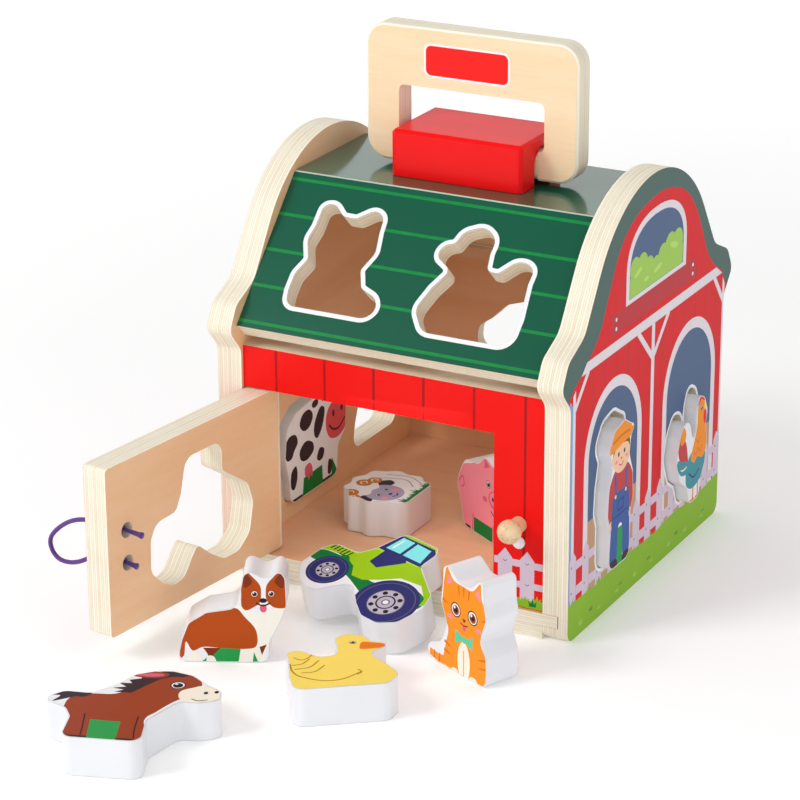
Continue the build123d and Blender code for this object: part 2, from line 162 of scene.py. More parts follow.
def operators(operation: str) -> tuple[Callable, Callable]:
    """Both forms of an operator of Signal, for one operation of the Math node.

    Args:
        operation: Name of the operation.

    Returns:
        The operator with the signal at its left, and the reflected one with the signal at its right.
    """
    def plain(self: "Signal", other: "Signal | Number") -> "Signal":
        """The signal, then the other value."""
        return self.graph.math(operation, self, other)

    def reflected(self: "Signal", other: Number) -> "Signal":
        """The other value, then the signal."""
        return self.graph.math(operation, other, self)

    return plain, reflected


class Signal:
    """An output socket with arithmetic, so that a pattern reads as a formula."""

    __add__, __radd__ = operators("ADD")
    __sub__, __rsub__ = operators("SUBTRACT")
    __mul__, __rmul__ = operators("MULTIPLY")
    __truediv__, __rtruediv__ = operators("DIVIDE")

    def __init__(self, graph: "Graph", socket: bpy.types.NodeSocket) -> None:
        """Keeps the socket and its graph."""
        self.graph = graph
        self.socket = socket

    def step(self, at: float, soft: float) -> "Signal":
        """Rises from 0 to 1 about a value.

        Args:
            at: Value where the step is half way.
            soft: Half its width.

        Returns:
            The step as a new signal.
        """
        node = self.graph.node("ShaderNodeMapRange", {"interpolation_type": "SMOOTHSTEP"},
                               {"Value": self, "From Min": at - soft, "From Max": at + soft})
        return self.graph.out(node, "Result")

    def inside(self, low: float, high: float, soft: float) -> "Signal":
        """1 between two values and 0 outside them."""
        return self.step(low, soft) - self.step(high, soft)


class Graph:
    """A node tree that is written as expressions."""

    def __init__(self, tree: bpy.types.NodeTree) -> None:
        """Empties the tree."""
        self.tree = tree
        self.tree.nodes.clear()

    def node(self, kind: str, settings: Mapping[str, object] | None = None,
             inputs: Mapping[str | int, object] | None = None) -> bpy.types.Node:
        """Adds a node, sets it up and wires it.

        Args:
            kind: The node's type, such as ShaderNodeMath.
            settings: Its own properties.
            inputs: Values or signals by socket name or number.

        Returns:
            The new node.
        """
        made = self.tree.nodes.new(kind)
        for key, value in (settings or {}).items():
            setattr(made, key, value)
        for key, value in (inputs or {}).items():
            if isinstance(value, Signal):
                self.tree.links.new(value.socket, made.inputs[key])
            else:
                made.inputs[key].default_value = value
        return made

    def out(self, made: bpy.types.Node, key: str | int) -> Signal:
        """One output of a node as a signal."""
        return Signal(self, made.outputs[key])

    def math(self, operation: str, first: "Signal | Number", second: "Signal | Number" = 0.0) -> Signal:
        """A Math node on two values."""
        return self.out(self.node("ShaderNodeMath", {"operation": operation}, {0: first, 1: second}), 0)


class Surface(Graph):
    """Node tree of one material, built from Object coordinates in millimetres."""

    def __init__(self, name: str) -> None:
        """Makes the material, and the shaded point in millimetres.

        Args:
            name: The material's name.
        """
        self.material = bpy.data.materials.new(name)
        self.material.use_nodes = True
        super().__init__(self.material.node_tree)
        place = self.node("ShaderNodeTexCoord")
        scaled = self.node("ShaderNodeVectorMath", {"operation": "SCALE"},
                           {0: self.out(place, "Object"), "Scale": 1 / MM})
        self.place = self.out(scaled, 0)

    def along(self, direction: Vec3) -> Signal:
        """Distance of the shaded point along a direction, in millimetres."""
        dot = self.node("ShaderNodeVectorMath", {"operation": "DOT_PRODUCT"}, {0: self.place, 1: direction})
        return self.out(dot, "Value")

    def noise(self, scale: Vec3 | float, detail: float = 3.0, roughness: float = 0.55) -> Signal:
        """Fractal noise over the shaded point.

        Args:
            scale: Features per millimetre along X, Y and Z, or one number for all three.
            detail: Octaves.
            roughness: Share that each octave has of the one before.

        Returns:
            Values about 0.5.
        """
        axes = scale if isinstance(scale, tuple) else (scale,) * 3
        mapped = self.node("ShaderNodeMapping", None, {"Vector": self.place, "Scale": axes})
        made = self.node("ShaderNodeTexNoise", None, {"Vector": self.out(mapped, "Vector"), "Scale": 1.0,
                                                      "Detail": detail, "Roughness": roughness})
        return self.out(made, "Fac")

    def mix(self, factor: Signal, first: Signal | Colour, second: Signal | Colour) -> Signal:
        """Colour between two colours."""
        made = self.node("ShaderNodeMix", {"data_type": "RGBA"}, {0: factor, 6: first, 7: second})
        return self.out(made, 2)

    def shade(self, colour: Signal | Colour, factor: Signal) -> Signal:
        """Colour made lighter or darker by a factor."""
        made = self.node("ShaderNodeHueSaturation", None, {"Color": colour, "Value": factor})
        return self.out(made, "Color")

    def bump(self, height: Signal, distance: float, strength: float) -> Signal:
        """Surface normal pushed by a height.

        Args:
            height: Height from 0 to 1.
            distance: What a height of 1 stands for, in millimetres.
            strength: Share of the effect.

        Returns:
            The normal.
        """
        made = self.node("ShaderNodeBump", None, {"Height": height, "Distance": distance * MM,
                                                  "Strength": strength})
        return self.out(made, "Normal")

    def finish(self, colour: Signal, roughness: Signal | float, normal: Signal | None = None,
               coat: float = 0.0, metallic: float = 0.0, specular: float = 0.5,
               sheen: float = 0.0, glow: Signal | None = None) -> Material:
        """Puts the surface on the material's output.

        Args:
            colour: Base colour.
            roughness: Of the surface.
            normal: Its normal, the mesh's own if left out.
            coat: Weight of a clear coat.
            metallic: 1 for bare metal.
            specular: Level of the mirror part.
            sheen: Weight of the sheen of cloth.
            glow: Colour that the surface gives off, none if left out.

        Returns:
            The material.
        """
        inputs: dict[str | int, object] = {
            "Base Color": colour, "Roughness": roughness, "Metallic": metallic, "Coat Weight": coat,
            "Coat Roughness": 0.08, "Sheen Weight": sheen, "Specular IOR Level": specular}
        if normal is not None:
            inputs["Normal"] = normal
        if glow is not None:
            inputs.update({"Emission Color": glow, "Emission Strength": 1.0})
        shader = self.node("ShaderNodeBsdfPrincipled", None, inputs)
        self.node("ShaderNodeOutputMaterial", None, {"Surface": self.out(shader, "BSDF")})
        return self.material


# Finishes.

class Coating(ABC):
    """Paint or print over one whole face of a board."""

    @abstractmethod
    def colour(self, graph: Surface) -> Signal:
        """Colour of the coat at the shaded point."""


@dataclass(frozen=True)
class Planks(Coating):
    """One colour with thin dark lines across a direction, drawn as planks.

    Args:
        ink: The field's colour.
        line: Colour of the lines.
        direction: Direction across the lines.
        first: Place of one line, mm.
        pitch: From line to line, mm.
        width: Width of a line, mm.
        soft: Half the width of a line's blurred edge, mm.
    """

    ink: Ink
    line: Ink
    direction: Vec3
    first: float
    pitch: float
    width: float = PLANK_LINE_WIDTH
    soft: float = 0.08

    def colour(self, graph: Surface) -> Signal:
        """A line where the way across, modulo the pitch, is within half a width of half the pitch.

        Args:
            graph: The board's surface.

        Returns:
            Field and lines, the lines worn thin in places.
        """
        # Half a pitch on, and 40 more, so that the modulo never sees a negative number.
        way = graph.along(self.direction) - self.first + 40.5 * self.pitch
        wrapped = graph.math("MODULO", way, self.pitch)
        line = wrapped.inside((self.pitch - self.width) / 2, (self.pitch + self.width) / 2, self.soft)
        cloud = graph.noise(0.02, 2.0)
        worn = graph.noise(0.25).step(0.35, 0.3)
        field_colour = graph.shade(self.ink.linear, cloud * 0.12 + 0.94)
        return graph.mix(line * (worn * 0.4 + 0.6), field_colour, self.line.linear)


@dataclass(frozen=True)
class Plain(Coating):
    """One colour with faint clouds of a thicker and thinner coat.

    Args:
        ink: The colour.
    """

    ink: Ink

    def colour(self, graph: Surface) -> Signal:
        """The ink, lighter and darker by a few hundredths."""
        cloud = graph.noise(0.03)
        return graph.shade(self.ink.linear, cloud * 0.14 + 0.93)


@dataclass(frozen=True)
class Finish(ABC):
    """What a piece is dressed in.

    Args:
        name: The material's name.
    """

    name: str

    @abstractmethod
    def build(self) -> Material:
        """Makes the material."""


@dataclass(frozen=True)
class Plywood(Finish):
    """Birch plywood: veneer on both faces, plies on every edge, and a coat on one face if there is one.

    Args:
        name: The material's name.
        normal: Direction across the board.
        low: Place of its lower face along that direction, mm.
        thickness: Of the board, mm.
        grain: Direction of the face veneer's grain.
        plies: Number of layers.
        coat: Paint on the upper face, or none.
        warm: Darker tone of the faces, as hex.
        pale: Their paler tone.
        gloss: What the coat takes off the roughness of 0.5.
        specular: Level of the mirror part.
        clear: Weight of a clear coat.
    """

    normal: Vec3
    low: float
    thickness: float
    grain: Vec3
    plies: int
    coat: Coating | None = None
    warm: str = "EDC79C"
    pale: str = "F3D8B2"
    gloss: float = 0.25
    specular: float = 0.3
    clear: float = 0.0

    def build(self) -> Material:
        """Plywood for one board, at its place in the frame.

        Returns:
            The material.
        """
        graph = Surface(self.name)
        depth = graph.along(self.normal) - self.low
        veneer, pores = self.veneer(graph)
        edge, ridge = self.edges(graph, depth)
        upper = depth.step(self.thickness - FACE_DEPTH, FACE_DEPTH / 2)
        lower = 1.0 - depth.step(FACE_DEPTH, FACE_DEPTH / 2)
        face = graph.math("MAXIMUM", upper, lower)
        colour = graph.mix(face, edge, veneer)
        height = ridge * (1.0 - face) + pores * face
        roughness: Signal | float = 0.55 - face * 0.1
        if self.coat is not None:
            colour = graph.mix(upper, colour, self.coat.colour(graph))
            roughness = 0.5 - upper * self.gloss
        normal = graph.bump(height, 0.04, 0.4)
        return graph.finish(colour, roughness, normal, coat=self.clear, specular=self.specular)

    def stretched(self, along: float, across: float) -> Vec3:
        """Noise scale that is slow along the grain and fine across it.

        Args:
            along: Features per millimetre along the grain.
            across: Features per millimetre across it.

        Returns:
            Scale along X, Y and Z.
        """
        grain = np.abs(np.array(self.grain))
        scale = across + (along - across) * grain / grain.max()
        return (float(scale[0]), float(scale[1]), float(scale[2]))

    def veneer(self, graph: Surface) -> tuple[Signal, Signal]:
        """Face veneer: long cloudy figure and fine pores along the grain.

        Args:
            graph: The board's surface.

        Returns:
            Colour of the veneer, and the height of its pores.
        """
        figure = graph.noise(self.stretched(0.008, 0.09), 4.0, 0.6)
        pores = graph.noise(self.stretched(0.05, 1.8), 3.0, 0.7)
        base = graph.mix(figure.step(0.5, 0.3), tint(self.pale), tint(self.warm))
        colour = graph.mix(pores.step(0.66, 0.14) * 0.16, base, tint("B98A5A"))
        return colour, pores

    def edges(self, graph: Surface, depth: Signal) -> tuple[Signal, Signal]:
        """Plies on the edges: the whole part of depth / ply numbers a layer, odd layers show darker end
        grain, and the fraction near 0 and 1 is the glue line between two.

        Args:
            graph: The board's surface.
            depth: Distance from the board's lower face, mm.

        Returns:
            Colour of the plies, and the height of their ridges.
        """
        ply = self.thickness / self.plies
        waver = graph.noise(0.03, 2.0) * 0.6 - 0.3
        layer = (depth + waver) / ply + 20.0    # 20 layers on, so that parity sees no negative number
        number = graph.math("FLOOR", layer)
        parity = graph.math("MODULO", number, 2.0)
        tone = graph.out(graph.node("ShaderNodeTexWhiteNoise", {"noise_dimensions": "1D"},
                                    {"W": number}), "Value")
        glue = 1.0 - graph.math("FRACT", layer).inside(0.1, 0.9, 0.09)
        streak = graph.noise(self.stretched(0.12, 1.4), 4.0, 0.7)
        patch = graph.noise(0.05, 2.0).step(0.5, 0.2)
        long_grain = graph.mix(streak, tint("F9F5E7"), tint("F1E9D4"))
        end_grain = graph.mix(streak, tint("EADFC6"), tint("D5C4A0"))
        wood = graph.mix(parity * (patch * 0.3 + 0.1) + tone * 0.45, long_grain, end_grain)
        colour = graph.mix(glue * (streak * 0.55 + 0.1), wood, tint("B59B70"))
        return colour, parity * 0.5 + streak * 0.5


@dataclass(frozen=True)
class Gloss(Finish):
    """Thick gloss paint all over a piece, softened at its edges.

    Args:
        name: The material's name.
        ink: Its colour.
        roughness: Of the surface.
        round_mm: Radius at which edges catch the light.
        clear: Weight of a clear coat.
        specular: Level of the mirror part.
    """

    ink: Ink
    roughness: float = 0.22
    round_mm: float = 0.5
    clear: float = 0.3
    specular: float = 0.4

    def build(self) -> Material:
        """Paint whose fine bump runs along the brush.

        Returns:
            The material.
        """
        graph = Surface(self.name)
        cloud = graph.noise(0.035)
        brush = graph.noise((0.05, 0.9, 0.9), 3.0, 0.6)
        colour = graph.shade(self.ink.linear, cloud * 0.1 + 0.95)
        edge = graph.node("ShaderNodeBevel", {"samples": 4}, {"Radius": self.round_mm * MM})
        bump = graph.node("ShaderNodeBump", None, {"Height": brush, "Distance": 0.03 * MM, "Strength": 0.35,
                                                   "Normal": graph.out(edge, "Normal")})
        return graph.finish(colour, cloud * 0.1 + self.roughness, graph.out(bump, "Normal"),
                            coat=self.clear, specular=self.specular)


@dataclass(frozen=True)
class Turned(Finish):
    """Sanded beech of a turned piece, with short flecks along an axis.

    Args:
        name: The material's name.
        scale: Noise scale along X, Y and Z, per millimetre.
    """

    scale: Vec3

    def build(self) -> Material:
        """Beech with darker flecks.

        Returns:
            The material.
        """
        graph = Surface(self.name)
        fleck = graph.noise(self.scale, 4.0, 0.65)
        cloud = graph.noise(0.12, 2.0)
        base = graph.mix(cloud, tint("F3DCB8"), tint("E2BC8A"))
        colour = graph.mix(fleck.step(0.6, 0.12) * 0.5, base, tint("B98552"))
        return graph.finish(colour, fleck * 0.15 + 0.4, graph.bump(fleck, 0.05, 0.5), coat=0.1)


@dataclass(frozen=True)
class Zinc(Finish):
    """Zinc-plated steel with a dull spangle.

    Args:
        name: The material's name.
    """

    def build(self) -> Material:
        """Grey metal, lighter and darker in spangles.

        Returns:
            The material.
        """
        graph = Surface(self.name)
        spangle = graph.noise(0.8)
        colour = graph.mix(spangle, tint("B9BCC2"), tint("8F9298"))
        return graph.finish(colour, spangle * 0.2 + 0.3, graph.bump(spangle, 0.02, 0.5), metallic=1.0)


@dataclass(frozen=True)
class Braid(Finish):
    """Covered elastic: fine slanted threads round the cord.

    Args:
        name: The material's name.
        dark: Thread colour in the grooves, as hex: painted shade.
        light: Thread colour on top, as hex: painted highlight.
    """

    dark: str = "35125C"
    light: str = "6B3AA6"

    def build(self) -> Material:
        """Threads as the product of two sines along slanted directions, with painted shade in the grooves
        and a painted highlight on top.

        Returns:
            The material.
        """
        graph = Surface(self.name)
        across = graph.along((0.6, 0.6, 0.9))
        back = graph.along((0.6, 0.6, -0.9))
        first = graph.math("SINE", across * 9.0)
        second = graph.math("SINE", back * 9.0)
        weave = first * second * 0.5 + 0.5
        fuzz = graph.noise(2.5)
        # Painted shade and highlight: the dark thread colour fills the weave's grooves and the light one
        # its crests, with some random fuzz.
        colour = graph.mix(weave * 0.7 + fuzz * 0.3, tint(self.dark), tint(self.light))
        return graph.finish(colour, fuzz * 0.2 + 0.55, graph.bump(weave, 0.08, 0.7), sheen=0.2)


@dataclass(frozen=True)
class Printed(Finish):
    """Ink under clear varnish, its colour in the mesh's own attribute.

    Args:
        name: The material's name.
        roughness: Of the varnish.
    """

    roughness: float = 0.42

    def build(self) -> Material:
        """The mesh's ink, a little uneven, over the wood's pores.

        Returns:
            The material.
        """
        graph = Surface(self.name)
        source = graph.node("ShaderNodeAttribute",
                            {"attribute_type": "GEOMETRY", "attribute_name": INK_LAYER})
        cloud = graph.noise(0.04, 2.0)
        pores = graph.noise((1.2, 1.2, 0.08), 3.0, 0.65)
        colour = graph.shade(graph.out(source, "Color"), cloud * 0.08 + pores * 0.08 + 0.92)
        return graph.finish(colour, pores * 0.1 + self.roughness, graph.bump(pores, 0.02, 0.3),
                            specular=0.14)


# Flat artwork.

def ellipse(x: float, y: float, wide: float, high: float | None = None, turn: float = 0.0,
            count: int = 36) -> Points:
    """Points round an ellipse.

    Args:
        x: Centre across.
        y: Centre up.
        wide: Half width.
        high: Half height, the half width if left out.
        turn: Turn in degrees.
        count: Number of points.

    Returns:
        The outline, counter-clockwise.
    """
    angle = np.linspace(0, 2 * math.pi, count, endpoint=False)
    across = wide * np.cos(angle)
    up = (wide if high is None else high) * np.sin(angle)
    lean = math.radians(turn)
    return np.stack([x + across * math.cos(lean) - up * math.sin(lean),
                     y + across * math.sin(lean) + up * math.cos(lean)], axis=1)


def poly(*corners: Pair) -> Points:
    """Straight-sided outline."""
    return np.array(corners, float)


def spans(before: Points, start: Points, end: Points, after: Points, steps: int) -> Points:
    """Catmull-Rom spans: cubics from start to end whose end slopes are half the chord between the
    neighbours.

    Args:
        before: The points ahead of each start.
        start: Where each span starts.
        end: Where it ends.
        after: The points beyond each end.
        steps: Points in each span.

    Returns:
        All points, without the last end.
    """
    p0, p1, p2, p3 = (p[:, None, :] for p in (before, start, end, after))
    t = np.linspace(0, 1, steps, endpoint=False)[None, :, None]
    return (0.5 * (2 * p1 + (p2 - p0) * t + (2 * p0 - 5 * p1 + 4 * p2 - p3) * t ** 2
                   + (3 * p1 - p0 - 3 * p2 + p3) * t ** 3)).reshape(-1, 2)


def blob(*knots: Pair) -> Points:
    """Soft closed outline through the given points."""
    base = np.array(knots, float)
    return spans(np.roll(base, 1, 0), base, np.roll(base, -1, 0), np.roll(base, -2, 0), BLOB_STEPS)


def curve(*knots: Pair) -> Points:
    """Soft open line through the given points, its ends run on straight.

    Args:
        knots: The points.

    Returns:
        The line, from the first point to the last.
    """
    base = np.array(knots, float)
    base = np.concatenate([2 * base[:1] - base[1:2], base, 2 * base[-1:] - base[-2:-1]])
    return np.concatenate([spans(base[:-3], base[1:-2], base[2:-1], base[3:], CURVE_STEPS), base[-2:-1]])


def stroke(line: Points, width: float, tip: float = 1.0) -> Points:
    """Band along an open line: both sides stand half the width off it, square to its run.

    Args:
        line: The middle of the band.
        width: Its width.
        tip: Width at its end, as a share.

    Returns:
        The band's outline.
    """
    run = np.gradient(line, axis=0)
    run /= np.linalg.norm(run, axis=1, keepdims=True)
    side = np.stack([-run[:, 1], run[:, 0]], axis=1) * width / 2
    side *= np.linspace(1.0, tip, len(line))[:, None]
    return np.concatenate([line - side, (line + side)[::-1]])


def pen(width: float, *knots: Pair, tip: float = 1.0) -> Points:
    """Soft line of a width through the given points."""
    return stroke(curve(*knots), width, tip)


def box(left: float, low: float, right: float, high: float) -> Points:
    """Upright rectangle."""
    return poly((left, low), (right, low), (right, high), (left, high))


def arch(middle: float, low: float, half: float, springing: float, apex: float, power: float = 2.0,
         count: int = 28) -> Points:
    """Upright opening whose top follows |x / half|^power + |y / rise|^power = 1.

    Args:
        middle: Place across.
        low: Its foot.
        half: Half width.
        springing: Height at which the top begins.
        apex: Height of the top.
        power: 2 for half an ellipse, more for squarer shoulders.
        count: Points of the top.

    Returns:
        The outline.
    """
    angle = np.linspace(0, math.pi, count)
    across, rise = np.cos(angle), np.sin(angle)
    top = np.stack([middle + half * np.sign(across) * np.abs(across) ** (2 / power),
                    springing + (apex - springing) * rise ** (2 / power)], axis=1)
    return np.concatenate([poly((middle - half, low), (middle + half, low)), top])


def rounded(left: float, low: float, right: float, high: float, radius: float, count: int = 8) -> Points:
    """Rectangle with a quarter circle at each corner.

    Args:
        left: Lowest place across.
        low: Lowest place up.
        right: Highest place across.
        high: Highest place up.
        radius: Of the corners.
        count: Points of a corner.

    Returns:
        The outline, counter-clockwise.
    """
    quarter = np.linspace(0, math.pi / 2, count)
    centres = ((right - radius, high - radius), (left + radius, high - radius),
               (left + radius, low + radius), (right - radius, low + radius))
    corners = [np.stack([x + radius * np.cos(quarter + k * math.pi / 2),
                         y + radius * np.sin(quarter + k * math.pi / 2)], axis=1)
               for k, (x, y) in enumerate(centres)]
    return np.concatenate(corners)


def counter_clockwise(loop: Points) -> Points:
    """The outline with its inside on its left, which is where the sum of x dy - y dx is positive.

    Args:
        loop: The outline, either way round.

    Returns:
        The same points, counter-clockwise.
    """
    after = np.roll(loop, -1, axis=0)
    area = np.sum(loop[:, 0] * after[:, 1] - loop[:, 1] * after[:, 0])
    return loop if area > 0 else loop[::-1]


def widened(loop: Points, by: float) -> Points:
    """Outline moved outwards by a distance, or inwards by a negative one.

    Each edge gives two points, moved square to it, and points that come nearer to the old
    outline than the distance are dropped, so the new one has no small loops.

    Args:
        loop: The outline.
        by: The distance.

    Returns:
        The new outline, counter-clockwise.
    """
    ring = counter_clockwise(loop)
    after = np.roll(ring, -1, axis=0)
    run = after - ring
    length = np.linalg.norm(run, axis=1)
    real = length > TINY
    ring, after, run = ring[real], after[real], run[real]
    out = np.stack([run[:, 1], -run[:, 0]], axis=1) / np.linalg.norm(run, axis=1, keepdims=True)
    moved = np.stack([ring + out * by, after + out * by], axis=1).reshape(-1, 2)
    reach = moved[:, None, :] - ring[None, :, :]
    share = np.clip(np.sum(reach * run, axis=2) / np.sum(run * run, axis=1), 0, 1)
    gap = np.linalg.norm(reach - share[:, :, None] * run, axis=2).min(axis=1)
    kept = moved[gap > abs(by) * 0.98 - TINY]
    step = np.linalg.norm(kept - np.roll(kept, 1, axis=0), axis=1)
    return kept[step > 10 * TINY]


def inside(points: Points, loop: Points) -> np.ndarray:
    """Which points lie inside an outline, by its turns round each: an edge that rises past a point on
    its right adds one, and an edge that falls past it takes one away.

    Args:
        points: Rows of points.
        loop: Closed outline, counter-clockwise.

    Returns:
        One flag for each point.
    """
    near = np.all((points >= loop.min(axis=0)) & (points <= loop.max(axis=0)), axis=1)
    some = points[near]
    start, end = loop[None, :, :], np.roll(loop, -1, axis=0)[None, :, :]
    run, reach = end - start, some[:, None, :] - start
    left = run[..., 0] * reach[..., 1] - run[..., 1] * reach[..., 0] > 0
    above = some[:, None, 1]
    rising = (start[..., 1] <= above) & (end[..., 1] > above) & left
    falling = (start[..., 1] > above) & (end[..., 1] <= above) & ~left
    flags = np.zeros(len(points), bool)
    flags[near] = rising.sum(axis=1) - falling.sum(axis=1) > 0
    return flags


def vertices(node: str) -> Points:
    """Vertices of a CAD node's mesh, mm in the frame.

    Args:
        node: Name of the node.

    Returns:
        Rows of X, Y and Z.
    """
    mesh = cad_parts[node].data
    places = np.empty(len(mesh.vertices) * 3, np.float32)
    mesh.vertices.foreach_get("co", places)
    return places.reshape(-1, 3).astype(float) / MM


def linked(name: str, data: bpy.types.ID) -> Object:
    """New object of the scene.

    Args:
        name: Its name.
        data: Mesh, curve, lamp or camera.

    Returns:
        The object.
    """
    made = bpy.data.objects.new(name, data)
    bpy.context.scene.collection.objects.link(made)
    LOG.info("made %s", made.name)
    return made


@dataclass(frozen=True)
class Sheet2D:
    """A printed face: a point on it and its directions, in the frame.

    Args:
        origin: Millimetres.
        across: Unit vector.
        up: Unit vector.
        near: How far from the face a vertex may lie to count as on it, mm.
    """

    origin: Vec3
    across: Vec3 = (1, 0, 0)
    up: Vec3 = (0, 0, 1)
    near: float = 0.05

    @property
    def normal(self) -> np.ndarray:
        """Direction out of the face."""
        return np.cross(self.across, self.up)

    def place(self, flat: Points, lift: float) -> np.ndarray:
        """Points of the artwork in the frame, in metres."""
        basis = np.array([self.across, self.up])
        return (np.array(self.origin) + flat @ basis + self.normal * lift) * MM

    def local(self, node: str) -> tuple[Points, np.ndarray]:
        """Vertices of a CAD node in this plane, and their heights above it."""
        reach = vertices(node) - np.array(self.origin)
        return (np.stack([reach @ np.array(self.across), reach @ np.array(self.up)], axis=1),
                reach @ self.normal)

    def outlines(self, node: str) -> list[Points]:
        """Outlines of a CAD node's flat face in this plane: chains of the edges that only one of its
        triangles has.

        Args:
            node: Name of the CAD node.

        Returns:
            Closed outlines on the face, the outer one first.
        """
        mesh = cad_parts[node].data
        mesh.calc_loop_triangles()
        corners = np.empty(len(mesh.loop_triangles) * 3, np.int32)
        mesh.loop_triangles.foreach_get("vertices", corners)
        flat, height = self.local(node)
        tris = corners.reshape(-1, 3)
        tris = tris[np.all(np.abs(height[tris]) < self.near, axis=1)]
        _, first, merged = np.unique(np.round(flat, 3), axis=0, return_index=True, return_inverse=True)
        tris = merged.reshape(-1)[tris]
        edges = np.concatenate([tris[:, [0, 1]], tris[:, [1, 2]], tris[:, [2, 0]]])
        known = {(a, b) for a, b in edges.tolist() if a != b}
        follow = {a: b for a, b in known if (b, a) not in known}
        loops = []
        while follow:
            start, at = follow.popitem()
            chain = [start]
            while at != start and at in follow:
                chain.append(at)
                at = follow.pop(at)
            if len(chain) > 3:
                loops.append(flat[first[chain]])
        return sorted(loops, key=lambda loop: -np.ptp(loop[:, 0]) * np.ptp(loop[:, 1]))


@dataclass
class Artwork:
    """Layers of ink on one face, the later ones on top.

    Args:
        name: Name of the printed piece.
        sheet: The face.
        region: Outline that the print fills.
        ground: Ink under all layers.
        openings: Outlines that it leaves out.
        layers: Ink and outline of each shape.
    """

    name: str
    sheet: Sheet2D
    region: Points
    ground: Ink
    openings: list[Points] = field(default_factory=list)
    layers: list[tuple[Ink, Points]] = field(default_factory=list)

    def add(self, ink: Ink, *shapes: Points) -> None:
        """Puts shapes of one ink on top."""
        self.layers += [(ink, shape) for shape in shapes]

    def build(self, finish: Material) -> Object:
        """Cuts all layers into one flat mesh: triangles between all outlines, each with the ink of the
        last outline round its middle.

        Args:
            finish: The printed material.

        Returns:
            The print.
        """
        shapes = [counter_clockwise(shape) for shape in
                  (self.region, *self.openings, *[shape for _, shape in self.layers])]
        starts = np.cumsum([0] + [len(shape) for shape in shapes])
        edges = [(k, k + 1 if k + 1 < b else a) for a, b in zip(starts[:-1].tolist(), starts[1:].tolist())
                 for k in range(a, b)]
        points = [Vector(p) for p in np.concatenate(shapes).tolist()]
        flat, _, faces, _, _, _ = delaunay_2d_cdt(points, edges, [], 0, TINY, False)
        flat, faces = np.array([tuple(p) for p in flat]), np.array(faces)
        middles = flat[faces].mean(axis=1)
        cut = 1 + len(self.openings)
        shown = inside(middles, shapes[0])
        for shape in shapes[1:cut]:
            shown &= ~inside(middles, shape)
        chosen = np.tile(np.array(self.ground.linear, np.float32), (len(faces), 1))
        for (ink, _), shape in zip(self.layers, shapes[cut:]):
            chosen[inside(middles, shape)] = ink.linear
        used, faces = np.unique(faces[shown], return_inverse=True)
        faces, chosen = faces.reshape(-1, 3), chosen[shown]
        mesh = bpy.data.meshes.new(self.name)
        mesh.from_pydata(self.sheet.place(flat[used], PRINT_LIFT).tolist(), [], faces.tolist())
        colours = mesh.color_attributes.new(INK_LAYER, "FLOAT_COLOR", "CORNER")
        colours.data.foreach_set("color", np.repeat(chosen, 3, axis=0).ravel())
        mesh.materials.append(finish)
        LOG.info("%s: %d faces", self.name, len(faces))
        return linked(self.name, mesh)


def eye(x: float, y: float, size: float, iris: Ink = Ink.DARK) -> list[tuple[Ink, Points]]:
    """Round animal eye: rim, white, iris, pupil and glint."""
    return [(Ink.BLACK, ellipse(x, y, size * 1.18)), (Ink.WHITE, ellipse(x, y, size)),
            (iris, ellipse(x, y - size * 0.05, size * 0.78)), (Ink.BLACK, ellipse(x, y, size * 0.5)),
            (Ink.WHITE, ellipse(x - size * 0.3, y + size * 0.35, size * 0.24))]


def tufts(left: float, right: float, low: float, high: float, pitch: float) -> list[Points]:
    """Three-bladed grass tufts in a row, their heights following a cosine of their number.

    Args:
        left: Where the row starts.
        right: Where it ends.
        low: Foot of the tufts.
        high: Tip of the highest one.
        pitch: From tuft to tuft.

    Returns:
        Their outlines.
    """
    made = []
    for index in range(int((right - left) / pitch)):
        x = left + pitch * (index + 0.5)
        rise = (high - low) * (0.7 + 0.3 * math.cos(index * 2.3))
        made.append(np.array([x, low]) + poly((-1.6, 0), (1.6, 0), (2.0, rise * 0.7), (0.7, rise * 0.35),
                                              (0, rise), (-0.7, rise * 0.35), (-2.0, rise * 0.7)))
    return made


# Prints of the blocks.

@dataclass(frozen=True)
class Motif:
    """Generic print of one block, in millimetres from the middle of its feet.

    Args:
        layers: Ink and outlines of each layer, the later ones on top.
        eyes: Ink and outline of each part of the eyes, over all layers.
    """

    layers: tuple[tuple[Ink | Points, ...], ...]
    eyes: Sequence[tuple[Ink, Points]] = ()

    def draw(self, art: Artwork) -> None:
        """Adds the layers and the eyes to a print.

        Args:
            art: The print.
        """
        for ink, *shapes in self.layers:
            art.add(ink, *shapes)
        art.layers += self.eyes


def wheel(x: float, y: float, size: float) -> list[tuple[Ink | Points, ...]]:
    """Wheel of the tractor: rings from the tyre to the hub, and eight bolts on the rim.

    Args:
        x: Middle across.
        y: Middle up.
        size: Its radius.

    Returns:
        Its layers.
    """
    rings = ((Ink.NAVY, 1.0, 48), (Ink.STEEL_DARK, 0.88, 48), (Ink.NAVY, 0.85, 48),
             (Ink.STEEL_DARK, 0.56, 40), (Ink.STEEL, 0.53, 40), (Ink.BLACK, 0.3, 24), (Ink.STEEL, 0.25, 24),
             (Ink.STEEL_DARK, 0.13, 16), (Ink.WHITE, 0.09, 12))
    layers = [(ink, ellipse(x, y, size * share, count=count)) for ink, share, count in rings]
    bolts = [ellipse(*bolt, size * 0.08, count=12) for bolt in ellipse(x, y, size * 0.42, count=8)]
    return [*layers[:5], (Ink.BLACK, *bolts), *layers[5:]]


